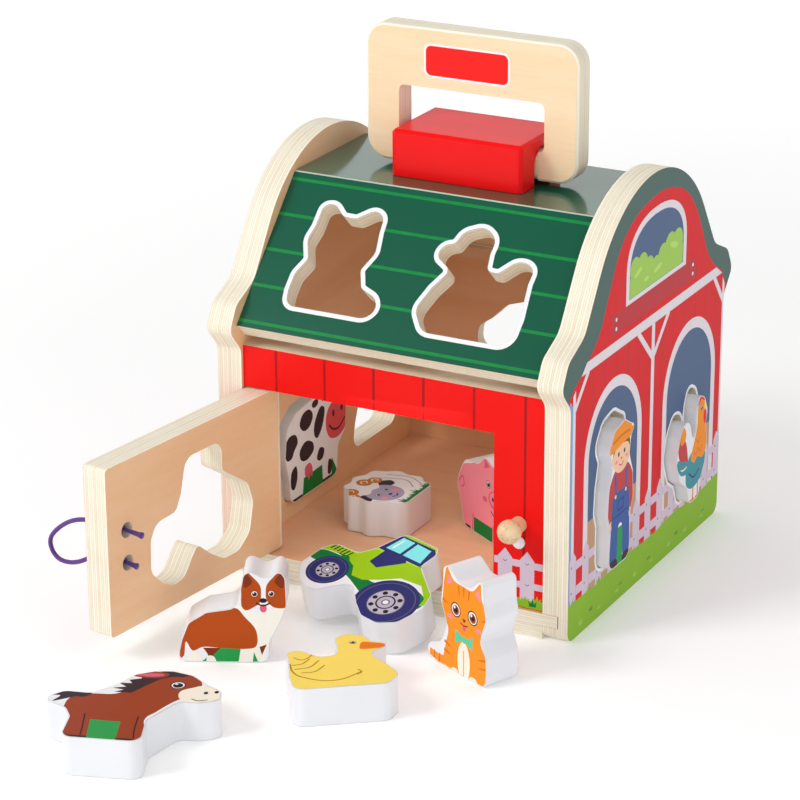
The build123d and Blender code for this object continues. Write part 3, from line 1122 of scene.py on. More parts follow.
def sheep(m: float) -> Motif:
    """Woolly sheep, its head to the left: grass, fleece lines, ears, head, curls and face.

    Args:
        m: Middle of the head.

    Returns:
        The motif.
    """
    return Motif((
        (Ink.FOREST, *tufts(-13, 15, 1.0, 6.4, 4.0), box(-12, -1, 15, 2.0)),
        (Ink.LAVENDER, pen(0.6, (5, 6), (11, 13), (8, 24), (0, 31)), pen(0.6, (10, 4), (15, 13), (13, 24))),
        (Ink.DARK, blob((m - 6, 21), (m - 11, 22.4), (m - 14, 18.4), (m - 11.4, 15.4), (m - 7, 17.4)),
         blob((m + 6, 21), (m + 11, 22.8), (m + 14.4, 19), (m + 11.6, 15.8), (m + 7, 17.4))),
        (Ink.LAVENDER, ellipse(m, 14.8, 9.2, 9.2)),
        (Ink.WHITE, blob((m - 8, 23), (m - 4, 26), (m, 24.6), (m + 4, 26), (m + 8, 23), (m + 4.4, 19.8),
             (m, 21), (m - 4.4, 19.8))),
        (Ink.CURL, *[ellipse(m + x, y, r) for x, y, r in ((-11, 25.2, 3.4), (-6.6, 28.6, 3.8),
             (6.2, 28.6, 3.8), (11, 25.6, 3.4), (-13.6, 21.6, 2.2))]),
        (Ink.CREAM, *[pen(0.55, (m + x - 2, y), (m + x, y + 1.8), (m + x + 1.9, y), (m + x + 0.2, y - 1.4))
             for x, y in ((-11, 25.2), (-6.6, 28.6), (6.2, 28.6), (11, 25.6))]),
        (Ink.PINK, ellipse(m - 5.4, 11.8, 1.8, 1.3), ellipse(m + 5.4, 11.8, 1.8, 1.3)),
        (Ink.DARK, pen(0.6, (m - 2.4, 9.4), (m, 8.2), (m + 2.4, 9.4)), ellipse(m, 11.6, 1.2, 0.8)),
    ), eye(m - 3.6, 16, 1.3) + eye(m + 3.6, 16, 1.3))


# Standing horse, head to the right: body, meadow between the legs, tail, mane, ear, muzzle and joints.
HORSE = Motif((
    (Ink.CHESTNUT, blob((-21.5, -3), (-20.5, 12), (-24.5, 24), (-24, 34), (-17, 38.2), (-7, 39.5), (-1, 47),
         (6, 57), (13, 62), (21, 59.5), (26, 52.5), (23, 43), (17.5, 35), (13, 26), (10, 18), (13.5, -3))),
    (Ink.MEADOW, poly((-11.5, 15.9), (1.1, 15.6), (2.7, -1), (-8.9, -1))),
    (Ink.DARK, blob((-16.4, 38.4), (-21, 40.4), (-25.4, 43.6), (-30.6, 43.6), (-35.6, 39.6), (-32.4, 40),
         (-29.4, 38.8), (-33.6, 37), (-35.8, 32.6), (-32, 34.6), (-28.6, 34.6), (-30.6, 29.6), (-27, 31.6),
         (-22.6, 34.6), (-19, 35)),
     poly((-0.8, 41.2), (-8, 41.2), (-4.6, 43.6), (-9.4, 44.6), (-4.2, 46.4), (-8, 49.4), (-2.6, 49.8),
         (-4.4, 52.6), (0.2, 54.6), (0.4, 57.6), (6.4, 61.6), (12.8, 64), (17, 63), (21.4, 60.8),
         (17, 58.2), (12, 57.6), (7.8, 54.6), (3.6, 48.6)), box(-22, -2, -9.3, 2.0), box(2.5, -2, 14, 2.0)),
    (Ink.CHESTNUT, blob((-4.6, 57.2), (-0.6, 60.4), (5.4, 61.6), (10.6, 60), (9.4, 57), (4.6, 55.4),
         (-0.6, 55.6))),
    (Ink.PINK_DARK, blob((-2.4, 57.4), (1.4, 59.4), (6, 60), (9, 59), (7, 57.4), (2.4, 56.6))),
    (Ink.CREAM, blob((18.6, 45.4), (23, 49.4), (27, 51.4), (36, 49), (37, 42), (35, 36), (26, 35),
         (19.6, 39))),
    (Ink.BLACK, ellipse(29.1, 45.4, 0.9, 1.2), ellipse(33.2, 46.8, 0.9, 1.2),
     pen(0.6, (24.4, 39.4), (27.4, 38.2), (31, 39.6)), pen(0.6, (-14.8, 20.7), (-13, 10), (-12, 2.3)),
     pen(0.6, (7, 21.1), (8, 10), (9.4, 2.6))),
), eye(16.4, 50.6, 2.7))

# Standing dog with pricked ears, head up at the right: chest, legs, coat, both ears and face.
DOG = Motif((
    (Ink.IVORY, blob((2, 25.5), (6, 26), (12, 23), (20, 25.6), (23, 24), (20, 14), (14, 5), (13.6, -1),
         (2, -1), (4, 8), (9, 14))),
    (Ink.MEADOW, poly((-14.4, -1), (-4.6, 7.4), (4, 7.6), (2.6, -1)),
     poly((8.6, -1), (11.6, -1), (9.4, 5))),
    (Ink.BROWN_DARK, poly((-12.2, 6.8), (-4.6, 6.8), (-7.8, 3.4), (-9.6, 1.6), (-10.4, 4)),
     poly((11.8, 7.4), (15, 8.6), (12.8, 3.6))),
    (Ink.BROWN, blob((-22.2, 3), (-21.6, 12), (-19.6, 18.4), (-13, 22.8), (-1.7, 24.7), (2.6, 25.2),
         (5.8, 21.4), (10.4, 15.4), (10.6, 8), (5.6, 6.4), (-5, 6.8), (-12, 7.2), (-16.6, 5.4),
         (-19.4, 9.6), (-20.4, 3), (-23.4, 1.4)),
     blob((4.6, 26.6), (4.6, 33), (4.4, 39.6), (6, 43), (9.6, 39.8), (12.6, 36), (13, 32), (12.4, 28),
         (9.6, 25.8), (6.6, 24.4)),
     blob((15.4, 29), (15, 33), (15.6, 36.4), (18.4, 40), (22, 43.4), (23.6, 40), (23.6, 32), (23.8, 26.2),
         (18.6, 25.8))),
    (Ink.IVORY, blob((-18.6, -1), (-17.4, 4.2), (-14.6, 4.6), (-12.6, -1)),
     blob((-10.6, -1), (-10.4, 2.8), (-7.6, 2.6), (-6.8, -1))),
    (Ink.BROWN_DARK, blob((5.6, 35.4), (5.8, 40.6), (7, 41.2), (9.4, 37.8), (7.4, 35.2)),
     blob((22.6, 35.4), (22.6, 40.6), (21.2, 41.4), (18.8, 38), (20.8, 35.2))),
    (Ink.PINK_DARK, ellipse(13.8, 25.4, 1.5, 1.9)),
    (Ink.BLACK, ellipse(13.8, 29, 1.6, 1.1), pen(0.7, (10.8, 27.8), (13.8, 26.6), (16.8, 27.9))),
), eye(10.2, 32, 1.3, Ink.BROWN_DARK) + eye(17.3, 32.2, 1.3, Ink.BROWN_DARK))

# Sitting duck, beak to the right: lines of wing and tail, beak and eye.
DUCK = Motif((
    (Ink.WING_LINE, pen(0.75, (-20.6, 24), (-20.4, 17), (-17.6, 11.6), (-9, 6.6), (-0.8, 7), (7.4, 12.4)),
     pen(0.65, (-18.6, 29.6), (-15.6, 27), (-12.4, 28.6), (-10.6, 31.4)),
     pen(0.65, (-20, 22.4), (-15.6, 23.4), (-12, 27.6)),
     pen(0.65, (-19.4, 18.6), (-13, 19.8), (-8.4, 25.4)), pen(0.65, (-17, 15), (-11.4, 15.4), (-6.6, 20.6)),
     pen(0.6, (5.4, 10), (7.6, 12.2), (6.4, 15))),
    (Ink.BEAK, blob((10, 36), (11.6, 40), (15.4, 39.2), (23, 36.2), (22.4, 33.6), (17, 33.2),
         (10.4, 33.4))),
    (Ink.ORANGE_DARK, pen(0.5, (11.2, 35.8), (16, 36), (21.6, 35))),
), eye(7.6, 40.2, 1.3))

# Tractor with its small wheel at the left: leaves below, green body, cab and grille, then both wheels.
TRACTOR = Motif((
    (Ink.FOREST, blob((-33, 16), (-32, 23), (-15, 24), (2, 19), (16, 26), (29, 24), (31, 16), (18, 6),
         (5, 10), (-8, 15), (-18, 17))),
    (Ink.LIME, poly((-33.5, 23), (-32.5, 27.5), (-29.5, 30.8), (-17, 31.6), (-12.6, 38.8), (12.8, 39.6),
         (31.6, 28.6), (33, 21), (30.6, 19), (29.4, 23.4), (22, 29.4), (11, 28), (4.6, 22.4), (-2.4, 17.6),
         (-8.6, 17.2), (-12.4, 22.2), (-19, 25), (-28, 24.4))),
    (Ink.LIME_LIGHT, poly((-30, 28.8), (-17, 29.5), (-12.5, 36.8), (11.5, 37.6), (12.2, 39.2), (-13, 38.4),
         (-17.6, 31), (-29.8, 30.4))),
    (Ink.FOREST, poly((-25.4, 25.2), (-18.6, 26), (-15.6, 23), (-17.6, 22.6), (-20, 24)),
     stroke(poly((12.6, 39), (22.4, 33.8), (30.6, 28)), 0.7)),
    (Ink.NAVY, poly((-12.4, 37.8), (-10, 52.2), (10.6, 52.6), (12.6, 48.8), (12.2, 38.4)),
     poly((-9, 28.8), (-3.4, 27.2), (5.4, 37), (3.6, 39), (-8.6, 38.2))),
    (Ink.LIME, poly((-10.6, 50.3), (-9.8, 53.5), (10.8, 53.5), (13.2, 49.6), (11.4, 49.4), (9.6, 51))),
    (Ink.CYAN, poly((-9.6, 39.8), (-8, 49.4), (-1.2, 49.6), (-1.4, 40.2)),
     poly((0.2, 40.2), (0.4, 49.6), (8.8, 49.4), (10.6, 40.4))),
    (Ink.WHITE, poly((-7.6, 41.4), (-6.6, 48.2), (-5.8, 48.2), (-6.6, 41.4))),
    (Ink.BLACK, *[pen(0.8, (-30 + 2.0 * k, 25.6), (-29.2 + 2.0 * k, 29.0)) for k in range(6)]),
    *wheel(-20.2, 13.8, 9.6), *wheel(17.0, 12.4, 15.0),
))

# Sitting cat, tail to the left: coat, belly and paws, stripes, bow and face.
CAT = Motif((
    (Ink.ORANGE, blob((-6.4, 46.6), (-8.4, 40), (-9.4, 32), (-10, 25), (-5.6, 18.6), (-7.6, 10), (-8.6, 2),
         (0, -2), (14, -2), (21, 2), (20.6, 12), (16.2, 20.4), (20.4, 26), (20.4, 34), (17, 40),
         (16.2, 46.6), (11, 41.6), (4.5, 41.4), (-2, 42)),
     pen(4.6, (-5, 3.4), (-11.5, 2.4), (-18.4, 3.4), tip=0.7)),
    (Ink.CREAM, ellipse(5, 6.6, 4.2, 9.4), blob((-3.4, -2), (-3, 1.2), (0.4, 1.6), (1.6, -2)),
     blob((9, -2), (9.4, 1.6), (13.4, 1.6), (14.6, -2))),
    (Ink.ORANGE_DARK, pen(1.2, (5, 41), (5, 36.4), tip=0.4), pen(1.2, (1.4, 40.6), (2, 36), tip=0.4),
     pen(1.2, (8.8, 40.6), (8, 36), tip=0.4), pen(1.4, (-8.2, 12), (-4, 10.6), tip=0.4),
     pen(1.4, (-8.4, 8), (-4.2, 7), tip=0.4), pen(1.4, (20.4, 13), (15, 11.4), tip=0.4),
     pen(1.4, (21, 9), (15.4, 7.8), tip=0.4), pen(1.2, (-12, 0.4), (-11.4, 4.8), tip=0.6),
     pen(1.1, (-15.4, 1), (-15, 5), tip=0.6), pen(1.2, (-9.6, 31), (-6, 30), tip=0.4),
     pen(1.2, (20.6, 31), (17, 30), tip=0.4), pen(0.45, (5, 12), (5, -1))),
    (Ink.PINK, poly((-5.4, 43.6), (-6.6, 38.4), (-2.6, 40.6)),
     poly((15.4, 43.6), (16.4, 38.4), (12.4, 40.6)), ellipse(-4.4, 24.6, 1.9, 1.1),
     ellipse(15, 24.6, 1.9, 1.1)),
    (Ink.MINT, poly((5.2, 17), (-0.8, 20.2), (-0.6, 13.8)), poly((5.2, 17), (11, 20.2), (10.8, 13.8)),
     ellipse(5.2, 17, 1.6)),
    (Ink.BROWN_DARK, poly((3.8, 26.6), (6.6, 26.6), (5.2, 24.9))),
    (Ink.PINK_DARK, ellipse(5.3, 22.6, 1.2, 1.5)),
    (Ink.BROWN_DARK, pen(0.55, (2.6, 24.2), (5.2, 23.6), (7.8, 24.2))),
), eye(-0.4, 29, 2.8, Ink.BROWN) + eye(11, 29.2, 2.8, Ink.BROWN))

# Standing pig, head to the right: body, grass, ears, tail, snout and feet.
PIG = Motif((
    (Ink.PINK, blob((-19, -1), (-22, 9), (-24, 19), (-20, 29), (-9, 34), (0, 41), (6, 37.4), (12, 38),
         (17.5, 41.5), (18, 33.6), (22.6, 26), (22, 14), (17.6, 6), (17, -1))),
    (Ink.FOREST, poly((-26, -1), (-26, 9), (-19.6, 6.4), (-17.6, -1)), box(-9, -1, 7, 7.4)),
    (Ink.PINK_DARK, poly((0, 39.4), (0, 34.4), (4.4, 36.4)), poly((16.2, 39.4), (16.6, 34.4), (12.4, 36.4)),
     ellipse(9, 21.4, 5.6, 4.4), pen(0.8, (-22, 21), (-19, 24), (-17.6, 20.4), (-20, 18.6)),
     pen(0.8, (-9.6, 9), (-10.2, 0)), pen(0.8, (7.4, 9), (8.2, 0)), ellipse(0.4, 19.6, 2, 1.4),
     ellipse(17.6, 19.6, 2, 1.4)),
    (Ink.PINK, ellipse(9, 21.8, 4.6, 3.4)),
    (Ink.DARK, ellipse(7.2, 21.6, 0.8, 1.1), ellipse(10.8, 21.6, 0.8, 1.1),
     pen(0.6, (5.4, 15.4), (9, 13.6), (12.6, 15.4)), box(-18, -1, -12, 1.6), box(10, -1, 16.6, 1.6)),
), eye(3.6, 27.8, 1.6) + eye(14.4, 27.8, 1.6))

# Standing cow, head at the right: legs, patches, horns, udder and head.
COW = Motif((
    (Ink.FOREST, poly((-14, -1), (-12.6, 9), (6.6, 9.6), (7, -1)), poly((13.6, -1), (14, 11), (21, -1))),
    (Ink.WHITE, poly((-25, -1), (-24, 16), (-11, 14), (-13.4, -1)),
     poly((6, -1), (5, 14), (14.6, 13), (14, -1))),
    (Ink.DARK, blob((-27, 23), (-28.6, 29), (-25, 33.4), (-19, 33), (-16.8, 28.6), (-20, 25.4),
         (-22.6, 22.4)), blob((-14.8, 36), (-12, 40.4), (-6, 41), (-2.6, 37), (-5.6, 32.6), (-11, 32)),
     blob((-14, 18.6), (-15, 23.4), (-9.6, 26.4), (-3.4, 24), (-2.4, 19.6), (-8.4, 17)),
     blob((-1.6, 27), (-1, 32.6), (4.2, 38.6), (8.4, 36.4), (6.2, 29), (1.6, 24.4)),
     blob((-23.6, 8.6), (-23, 15.4), (-18.6, 17.4), (-17.6, 11.6), (-20.4, 6.6)),
     blob((0.6, 14.6), (3.2, 18.6), (7.4, 17), (6.4, 13.2), (3, 12.4)),
     blob((10.6, 3.4), (11.4, 9.6), (14.4, 8.4), (13.6, 2.8)), ellipse(-0.4, 42, 3, 1.9),
     box(-25.4, -1, -13.2, 1.8), box(5.8, -1, 14.6, 1.8),
     blob((18.4, 36), (17, 43), (20.4, 47), (26, 45.6), (27.4, 38), (24.6, 34.4)),
     blob((6, 41), (8.6, 45.6), (13, 45), (11.6, 41.4))),
    (Ink.CREAM, ellipse(14.2, 48.4, 1.3, 2.6, -10), ellipse(20.6, 47.6, 1.2, 2.4, 12)),
    (Ink.PINK_DARK, blob((-10.6, 9.6), (-10.4, 13.8), (-6, 14.6), (-3.6, 11), (-4.4, 7), (-5.6, 9),
         (-7.2, 6.6), (-8.6, 9))),
    (Ink.MUZZLE, blob((9.6, 26), (10.4, 33.4), (16.4, 37.6), (24.6, 37), (30.6, 32), (30, 23.6),
         (22.4, 18.6), (13.6, 20))),
    (Ink.DARK, ellipse(16.6, 31.4, 1.1, 1.7), ellipse(24.4, 31.8, 1.1, 1.7),
     pen(1.0, (12.4, 26.8), (16.4, 23.4), (22, 22.8), (27.4, 26))),
), eye(14.6, 40.6, 1.7) + eye(22.6, 41, 1.7))

# Generic farm hand with a straw hat and dungarees: shirt, dungarees, shoes, hands, head and hat.
FARMER = Motif((
    (Ink.MEADOW, box(-3.2, -1, 2.8, 18)),
    (Ink.SHIRT, blob((-12.8, 20), (-13.4, 30), (-12, 39), (-7, 45.6), (0, 46.6), (7, 45.6), (12, 39),
         (13.2, 30), (12, 20), (8.6, 24), (-8.6, 24))),
    (Ink.DENIM, blob((-10.2, 3), (-9.8, 18), (-8.8, 30), (-6.6, 34.6), (6.6, 34.6), (8.8, 30), (9.8, 18),
         (9.6, 3), (3.4, 3), (2.2, 17), (0, 19.6), (-2.4, 17), (-3.6, 3)), pen(2.0, (-5, 34), (-6, 44)),
     pen(2.0, (5, 34), (6, 44))),
    (Ink.NAVY, box(-3.2, 26, 3.2, 31), pen(0.5, (-8, 24), (8, 24))),
    (Ink.DENIM, box(-2.6, 26.6, 2.6, 30.4)),
    (Ink.YELLOW, ellipse(-5.4, 33.6, 0.9), ellipse(5.4, 33.6, 0.9)),
    (Ink.DARK, blob((-10.6, -1), (-10.4, 3.6), (-3.4, 3.8), (-3, -1)),
     blob((3, -1), (3.4, 3.8), (9.4, 3.6), (10.2, -1))),
    (Ink.SKIN, ellipse(-11.2, 20.6, 2, 2.4), ellipse(11, 20.6, 2, 2.4), ellipse(0, 51.4, 8.8, 7.8),
     ellipse(-8.8, 51.2, 1.6, 2), ellipse(8.8, 51.2, 1.6, 2)),
    (Ink.HAIR, blob((-8.6, 53), (-7.4, 58.4), (0, 60), (7.4, 58.4), (8.6, 53), (6.2, 55.6), (0, 56.6),
         (-6.2, 55.6))),
    (Ink.ORANGE, blob((-15.4, 55.6), (-9.6, 59.8), (0, 61.4), (10, 61), (16, 61.8), (11, 57.4), (0, 56.4),
         (-10, 55)),
     blob((-9.6, 58.2), (-8.8, 64.8), (-2.6, 69), (4.4, 69.2), (9, 65), (9.8, 59.6), (0, 58.6))),
    (Ink.ORANGE_DARK, pen(1.2, (-8.6, 59.4), (0, 60.6), (8.6, 60.2))),
    (Ink.DARK, ellipse(-3, 52.6, 0.8, 1.1), ellipse(3, 52.6, 0.8, 1.1)),
    (Ink.PINK_DARK, ellipse(0, 50, 0.8, 0.6), pen(0.7, (-2.6, 48), (0, 46.8), (2.6, 48))),
    (Ink.PINK, ellipse(-5.4, 49.6, 1.3, 0.9), ellipse(5.4, 49.6, 1.3, 0.9)),
))

# Standing rooster, head up at the right: legs, tail, wings, neck, comb and beak.
ROOSTER = Motif((
    (Ink.BEAK, pen(1.3, (3, 9), (2.4, 0)), pen(1.3, (8, 9), (8.2, 0)), pen(1.2, (-0.6, 0.9), (4.6, 0.9)),
     pen(1.2, (5.6, 0.9), (10.8, 0.9))),
    (Ink.SHIRT, blob((-4, 19), (-10, 21.6), (-14.6, 27.4), (-15.6, 34), (-12, 36.4), (-7.4, 33), (-5, 27))),
    (Ink.ORANGE, blob((-12.6, 33), (-13.6, 38), (-10, 40.6), (-7, 37), (-8.4, 33))),
    (Ink.TEAL, blob((-3, 17), (-11, 17.4), (-16.4, 23), (-15.4, 26.4), (-10.6, 24), (-6, 23)),
     blob((-6, 12), (-5.4, 20), (-1, 24.6), (8, 26), (15, 22), (16.6, 15.6), (12.4, 9.6), (4, 7), (-2, 8))),
    (Ink.CREAM, pen(0.7, (-12, 20.4), (-9, 19.6), (-5.4, 20))),
    (Ink.ORANGE, blob((-0.6, 22.6), (2.6, 29), (5.6, 36), (6.2, 44), (9.4, 48.4), (13.6, 46.4), (14.6, 39),
         (16.8, 31), (17, 22.6), (13, 18.6), (7, 20.6), (3, 19))),
    (Ink.ORANGE_DARK, pen(0.6, (2.4, 25), (4.8, 22.4), (7.4, 25)),
     pen(0.6, (7.4, 25), (10, 22.4), (12.6, 25)), pen(0.6, (5, 30), (7.4, 27.6), (10, 30))),
    (Ink.LABEL_RED, blob((5.8, 45.4), (5, 50.4), (8, 49.4), (9.6, 51.6), (11.6, 49.6), (14, 50.4),
         (13.6, 46), (10, 47.8)), ellipse(14.6, 38.2, 1.8, 3.6)),
    (Ink.YELLOW, poly((13.8, 45), (18.6, 42.8), (13.8, 41.2))),
    (Ink.NAVY, pen(0.8, (-2.6, 15.6), (3, 12), (9.6, 14))),
), eye(10.6, 43.4, 1.2))


# Sub-assemblies.

class Assembly(ABC):
    """A group of pieces with its prints and finishes."""

    @abstractmethod
    def build(self, finish: Material) -> None:
        """Makes the pieces that the CAD model doesn't have.

        Args:
            finish: The printed material.
        """

    @abstractmethod
    def dress(self) -> None:
        """Gives the group's CAD nodes their finishes."""


def wear(finish: Finish, *nodes: str) -> Material:
    """Gives CAD nodes one material in all their slots.

    Args:
        finish: What the material is built from.
        nodes: Names of the nodes.

    Returns:
        The material.
    """
    material = finish.build()
    for piece in (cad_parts[node] for node in nodes):
        if not piece.material_slots:
            piece.data.materials.append(material)
        for slot in piece.material_slots:
            slot.material = material
    return material


@dataclass
class Block:
    """One animal block and the print on one of its faces.

    Args:
        name: Body of the block, and the start of its node's name.
        motif: Its print.
        sheet: Its printed face, whose height is read from the CAD block.
        ground: Ink of the bare print.
        inset: Bare edge round the print, mm.
    """

    name: str
    motif: Motif
    sheet: Sheet2D
    ground: Ink = Ink.WHITE
    inset: float = 0.45

    @property
    def node(self) -> str:
        """Name of the CAD block."""
        return f"{self.name}_block"

    def build(self, finish: Material) -> None:
        """Prints the block's face.

        Args:
            finish: The printed material.
        """
        _, height = self.sheet.local(self.node)
        origin = np.array(self.sheet.origin) + self.sheet.normal * float(height.max())
        seated = replace(self.sheet, origin=tuple(origin.tolist()))
        outline = seated.outlines(self.node)[0]
        art = Artwork(f"{self.name}_print", seated, widened(outline, -self.inset), self.ground)
        self.motif.draw(art)
        made = art.build(finish)
        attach(made, self.name)


def lying(x: float, y: float, turn: float, height: float) -> Sheet2D:
    """Printed face of a block on its back."""
    angle = math.radians(turn)
    return Sheet2D((x, y, height + BLOCK), (math.cos(angle), math.sin(angle), 0),
                   (-math.sin(angle), math.cos(angle), 0))


def standing(x: float, y: float, turn: float, height: float) -> Sheet2D:
    """Printed face of a block on its feet."""
    angle = math.radians(turn)
    return Sheet2D((x, y, height), (math.cos(angle), math.sin(angle), 0))


def leaning(origin: Vec3, turn: float, lean: float) -> Sheet2D:
    """Printed face of a block turned on its back and then leaned about X."""
    spin = Matrix.Rotation(math.radians(lean), 3, "X") @ Matrix.Rotation(math.radians(turn), 3, "Z")
    return Sheet2D(origin, tuple(spin.col[0]), tuple(spin.col[1]))


@dataclass
class Blocks(Assembly):
    """The ten blocks round, in and on the barn.

    Args:
        blocks: All of them.
    """

    blocks: tuple[Block, ...] = (
        Block("horse", HORSE, lying(-21.9, -275.1, 19.0, 0)),
        Block("duck", DUCK, lying(38.4, -190.9, 36.7, 0), Ink.YELLOW),
        Block("dog", DOG, standing(-32.8, -163.8, 26.2, 0)),
        Block("cat", CAT, standing(56.1, -128.5, -25.3, 0)),
        Block("tractor", TRACTOR, leaning((-3.0, -125.1, 18.2), -17.2, 15.4)),
        Block("sheep", sheep(-6.8), lying(-15.5, -25.3, 90.0, 12.3)),
        Block("pig", PIG, standing(16.0, -22.6, -31.8, 12.3)),
        Block("cow", COW, Sheet2D((-71.0, -23.0, 20.7), (0, 1, 0))),
        Block("farmer", FARMER, Sheet2D((91.5, -42.0, 23.0), (0, 1, 0))),
        Block("rooster", ROOSTER, Sheet2D((91.5, 36.5, 22.0), (0, 1, 0))),
    )

    def build(self, finish: Material) -> None:
        """Prints every block."""
        for block in self.blocks:
            block.build(finish)

    def dress(self) -> None:
        """White paint for every block."""
        wear(Gloss("block_white", Ink.PAINT, 0.3, 0.7), *[block.node for block in self.blocks])


@dataclass
class Gables(Assembly):
    """Both side walls: plywood, and the barn printed on their outer faces.

    Args:
        plank_pitch: From line to line of the printed boards, mm.
        door_half: Half width of a printed doorway.
        door_middles: Places of both doorways.
        window_middle: Place of the window in the gable.
        post: Place of the middle post.
        picket_pitch: From picket to picket.
        first_picket: Place of the first one.
        margin: Bare edge round the print.
        gap: Bare edge round each hole.
        rim: Width of the white rim round each hole, from the hole.
        sides: Name and outward direction of each wall.
    """

    plank_pitch: float = 12.2
    door_half: float = 30.0
    door_middles: Pair = (-38.6, 44.4)
    window_middle: float = 4.0
    post: float = 2.0
    picket_pitch: float = 13.1
    first_picket: float = -78.3
    margin: float = 0.05
    gap: float = 0.1
    rim: float = 1.5
    sides: tuple[tuple[str, int], ...] = (("right_wall", 1), ("left_wall", -1))

    def build(self, finish: Material) -> None:
        """Prints both outer faces.

        Args:
            finish: The printed material.
        """
        for name, side in self.sides:
            sheet = Sheet2D((side * WALL_FACE, 0, 0), (0, side, 0))
            outer, *holes = sheet.outlines(name)
            art = Artwork(f"{name}_print", sheet, widened(outer, -self.margin), Ink.RIM,
                          [widened(hole, self.gap) for hole in holes])
            self.draw(art)
            art.add(Ink.WHITE, *[widened(hole, self.rim) for hole in holes])
            made = art.build(finish)
            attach(made, "barn")

    def draw(self, art: Artwork) -> None:
        """Boards, band, window, doors, fence and grass.

        Args:
            art: The wall's print.
        """
        gable = curve((-69, 122), (-55, 133), (-46, 148), (-35, 165), (-20, 174.4), (0, 178.4), (18, 177.4),
                      (35, 171), (46.6, 160), (54.4, 147.6), (61, 135.6), (70, 126.4), (79, 121))
        art.add(Ink.BARN_RED,
                np.concatenate([gable, poly((79.5, 119.7), (84.4, 112.4), (92, 112.4), (92, -3), (-92, -3),
                    (-92, 106), (-80.5, 115.6))]))
        for x in np.arange(-73.2, 80, self.plank_pitch):
            art.add(Ink.BARN_RED_DARK,
                    box(x - 0.4, 15, x + 0.4, min(119.0 + max(0.0, 57 - abs(x - 2)) * 1.4, 176)))
        self.window(art)
        for middle in self.door_middles:
            self.door(art, middle)
        self.frame(art)
        self.fence(art)

    def window(self, art: Artwork) -> None:
        """Arched window in the gable, with hedges behind it, over a dark board.

        Args:
            art: The wall's print.
        """
        m = self.window_middle
        art.add(Ink.BOARD_RED, box(-43.2, 127.3, 48, 136.8))
        art.add(Ink.WHITE, *[ellipse(x, z, 0.9, count=12) for x in (-38, 44.6) for z in (129.7, 133.9)])
        art.add(Ink.TRIM, arch(m, 136.6, 32.4, 150, 173.2, power=2.3))
        art.add(Ink.SLATE, arch(m, 138.6, 29, 149.6, 170, power=2.3))
        art.add(Ink.BUSH, box(-24.6, 138.8, 32.4, 148),
                *[ellipse(y, z, r) for y, z, r in ((-19.4, 151, 5.4), (-11.6, 150.6, 5.6), (-4.4, 147.6, 5),
                    (3, 145.6, 5), (10.6, 148.4, 5.6), (18.6, 150.4, 6.4), (26.4, 150.6, 5.8))])
        art.add(Ink.BUSH_LIGHT, ellipse(-16, 148.6, 4, 1.3, 18), ellipse(22.4, 150, 4.6, 1.5, -16),
                ellipse(5, 144.4, 4.4, 1.2, 10), ellipse(-7, 143, 2.4, 1, 0))

    def frame(self, art: Artwork) -> None:
        """White band, its braces and the posts.

        Args:
            art: The wall's print.
        """
        art.add(Ink.SKY, poly((-92, 10), (-80.2, 10), (-80.2, 108), (-82.6, 111.4), (-92, 107)))
        art.add(Ink.TRIM, poly((-72.6, 119.5), (79.6, 119.5), (72.6, 124.2), (-67.2, 124.2)),
                box(self.post - 1.7, 17, self.post + 1.7, 119.8),
                stroke(poly((self.post, 103.6), (-14.4, 120)), 2.8),
                stroke(poly((self.post, 103.6), (18.8, 120)), 2.8),
                stroke(poly((-78.6, 106.4), (-65.4, 120)), 2.6),
                stroke(poly((81.8, 105.4), (70.4, 120)), 2.6),
                poly((-80.4, 12), (-77.9, 12), (-77.9, 115.2), (-80.4, 113.2)),
                poly((80.6, 12), (83, 12), (83, 113.6), (80.6, 117.2)))

    def door(self, art: Artwork, middle: float) -> None:
        """Arched doorway with its white frame.

        Args:
            art: The wall's print.
            middle: Place of the doorway.
        """
        art.add(Ink.TRIM, arch(middle, 10, self.door_half, 76, 108))
        art.add(Ink.SLATE, arch(middle, 10, self.door_half - 4.5, 76, 103))
        art.add(Ink.TAN, box(middle - self.door_half + 4.5, 10, middle + self.door_half - 4.5, 50))

    def fence(self, art: Artwork) -> None:
        """Picket fence over the doors, and the grass in front.

        Args:
            art: The wall's print.
        """
        pickets = np.arange(self.first_picket, 82, self.picket_pitch)
        art.add(Ink.PICKET, box(-81, 32.2, 82, 36.2), box(-81, 20.2, 82, 24.6),
                *[poly((x - 3.1, 12), (x + 3.1, 12), (x + 3.1, 38), (x, 42), (x - 3.1, 38)) for
                    x in pickets])
        art.add(Ink.STEEL, *[stroke(poly((x + 3.1, 18), (x + 3.1, 38)), 0.35) for x in pickets])
        art.add(Ink.STEEL_DARK,
                *[ellipse(x - 1.2, z, 0.42, 0.6, count=10) for x in pickets for z in (34.6, 22.6)])
        art.add(Ink.GRASS_DARK, *tufts(-82, 84, 15.4, 20.4, 8.7))
        art.add(Ink.GRASS,
                blob((-92, -4), (-92, 14), (-76, 17.4), (-50, 16.8), (-22, 18.2), (5, 17), (30, 18.8),
                    (55, 17.2), (92, 18.4), (92, -4)))
        art.add(Ink.GRASS, *tufts(-84, 84, 15, 20.6, 6.1))
        art.add(Ink.BUSH, *[tuft + np.array([3.0, -9.0]) for tuft in tufts(-82, 82, 13, 16.5, 19.0)])
        art.add(Ink.GRASS_DARK, *[tuft + np.array([7.5, -6.5]) for tuft in tufts(-82, 76, 13, 15.6, 31.0)])

    def dress(self) -> None:
        """Plywood for both walls."""
        for name, side in self.sides:
            wear(Plywood(f"{name}_ply", (side, 0, 0), WALL_FACE - BOARD, BOARD, (0, 1, 0), 11,
                         warm="EBBB8E", pale="F1C9A0"), name)


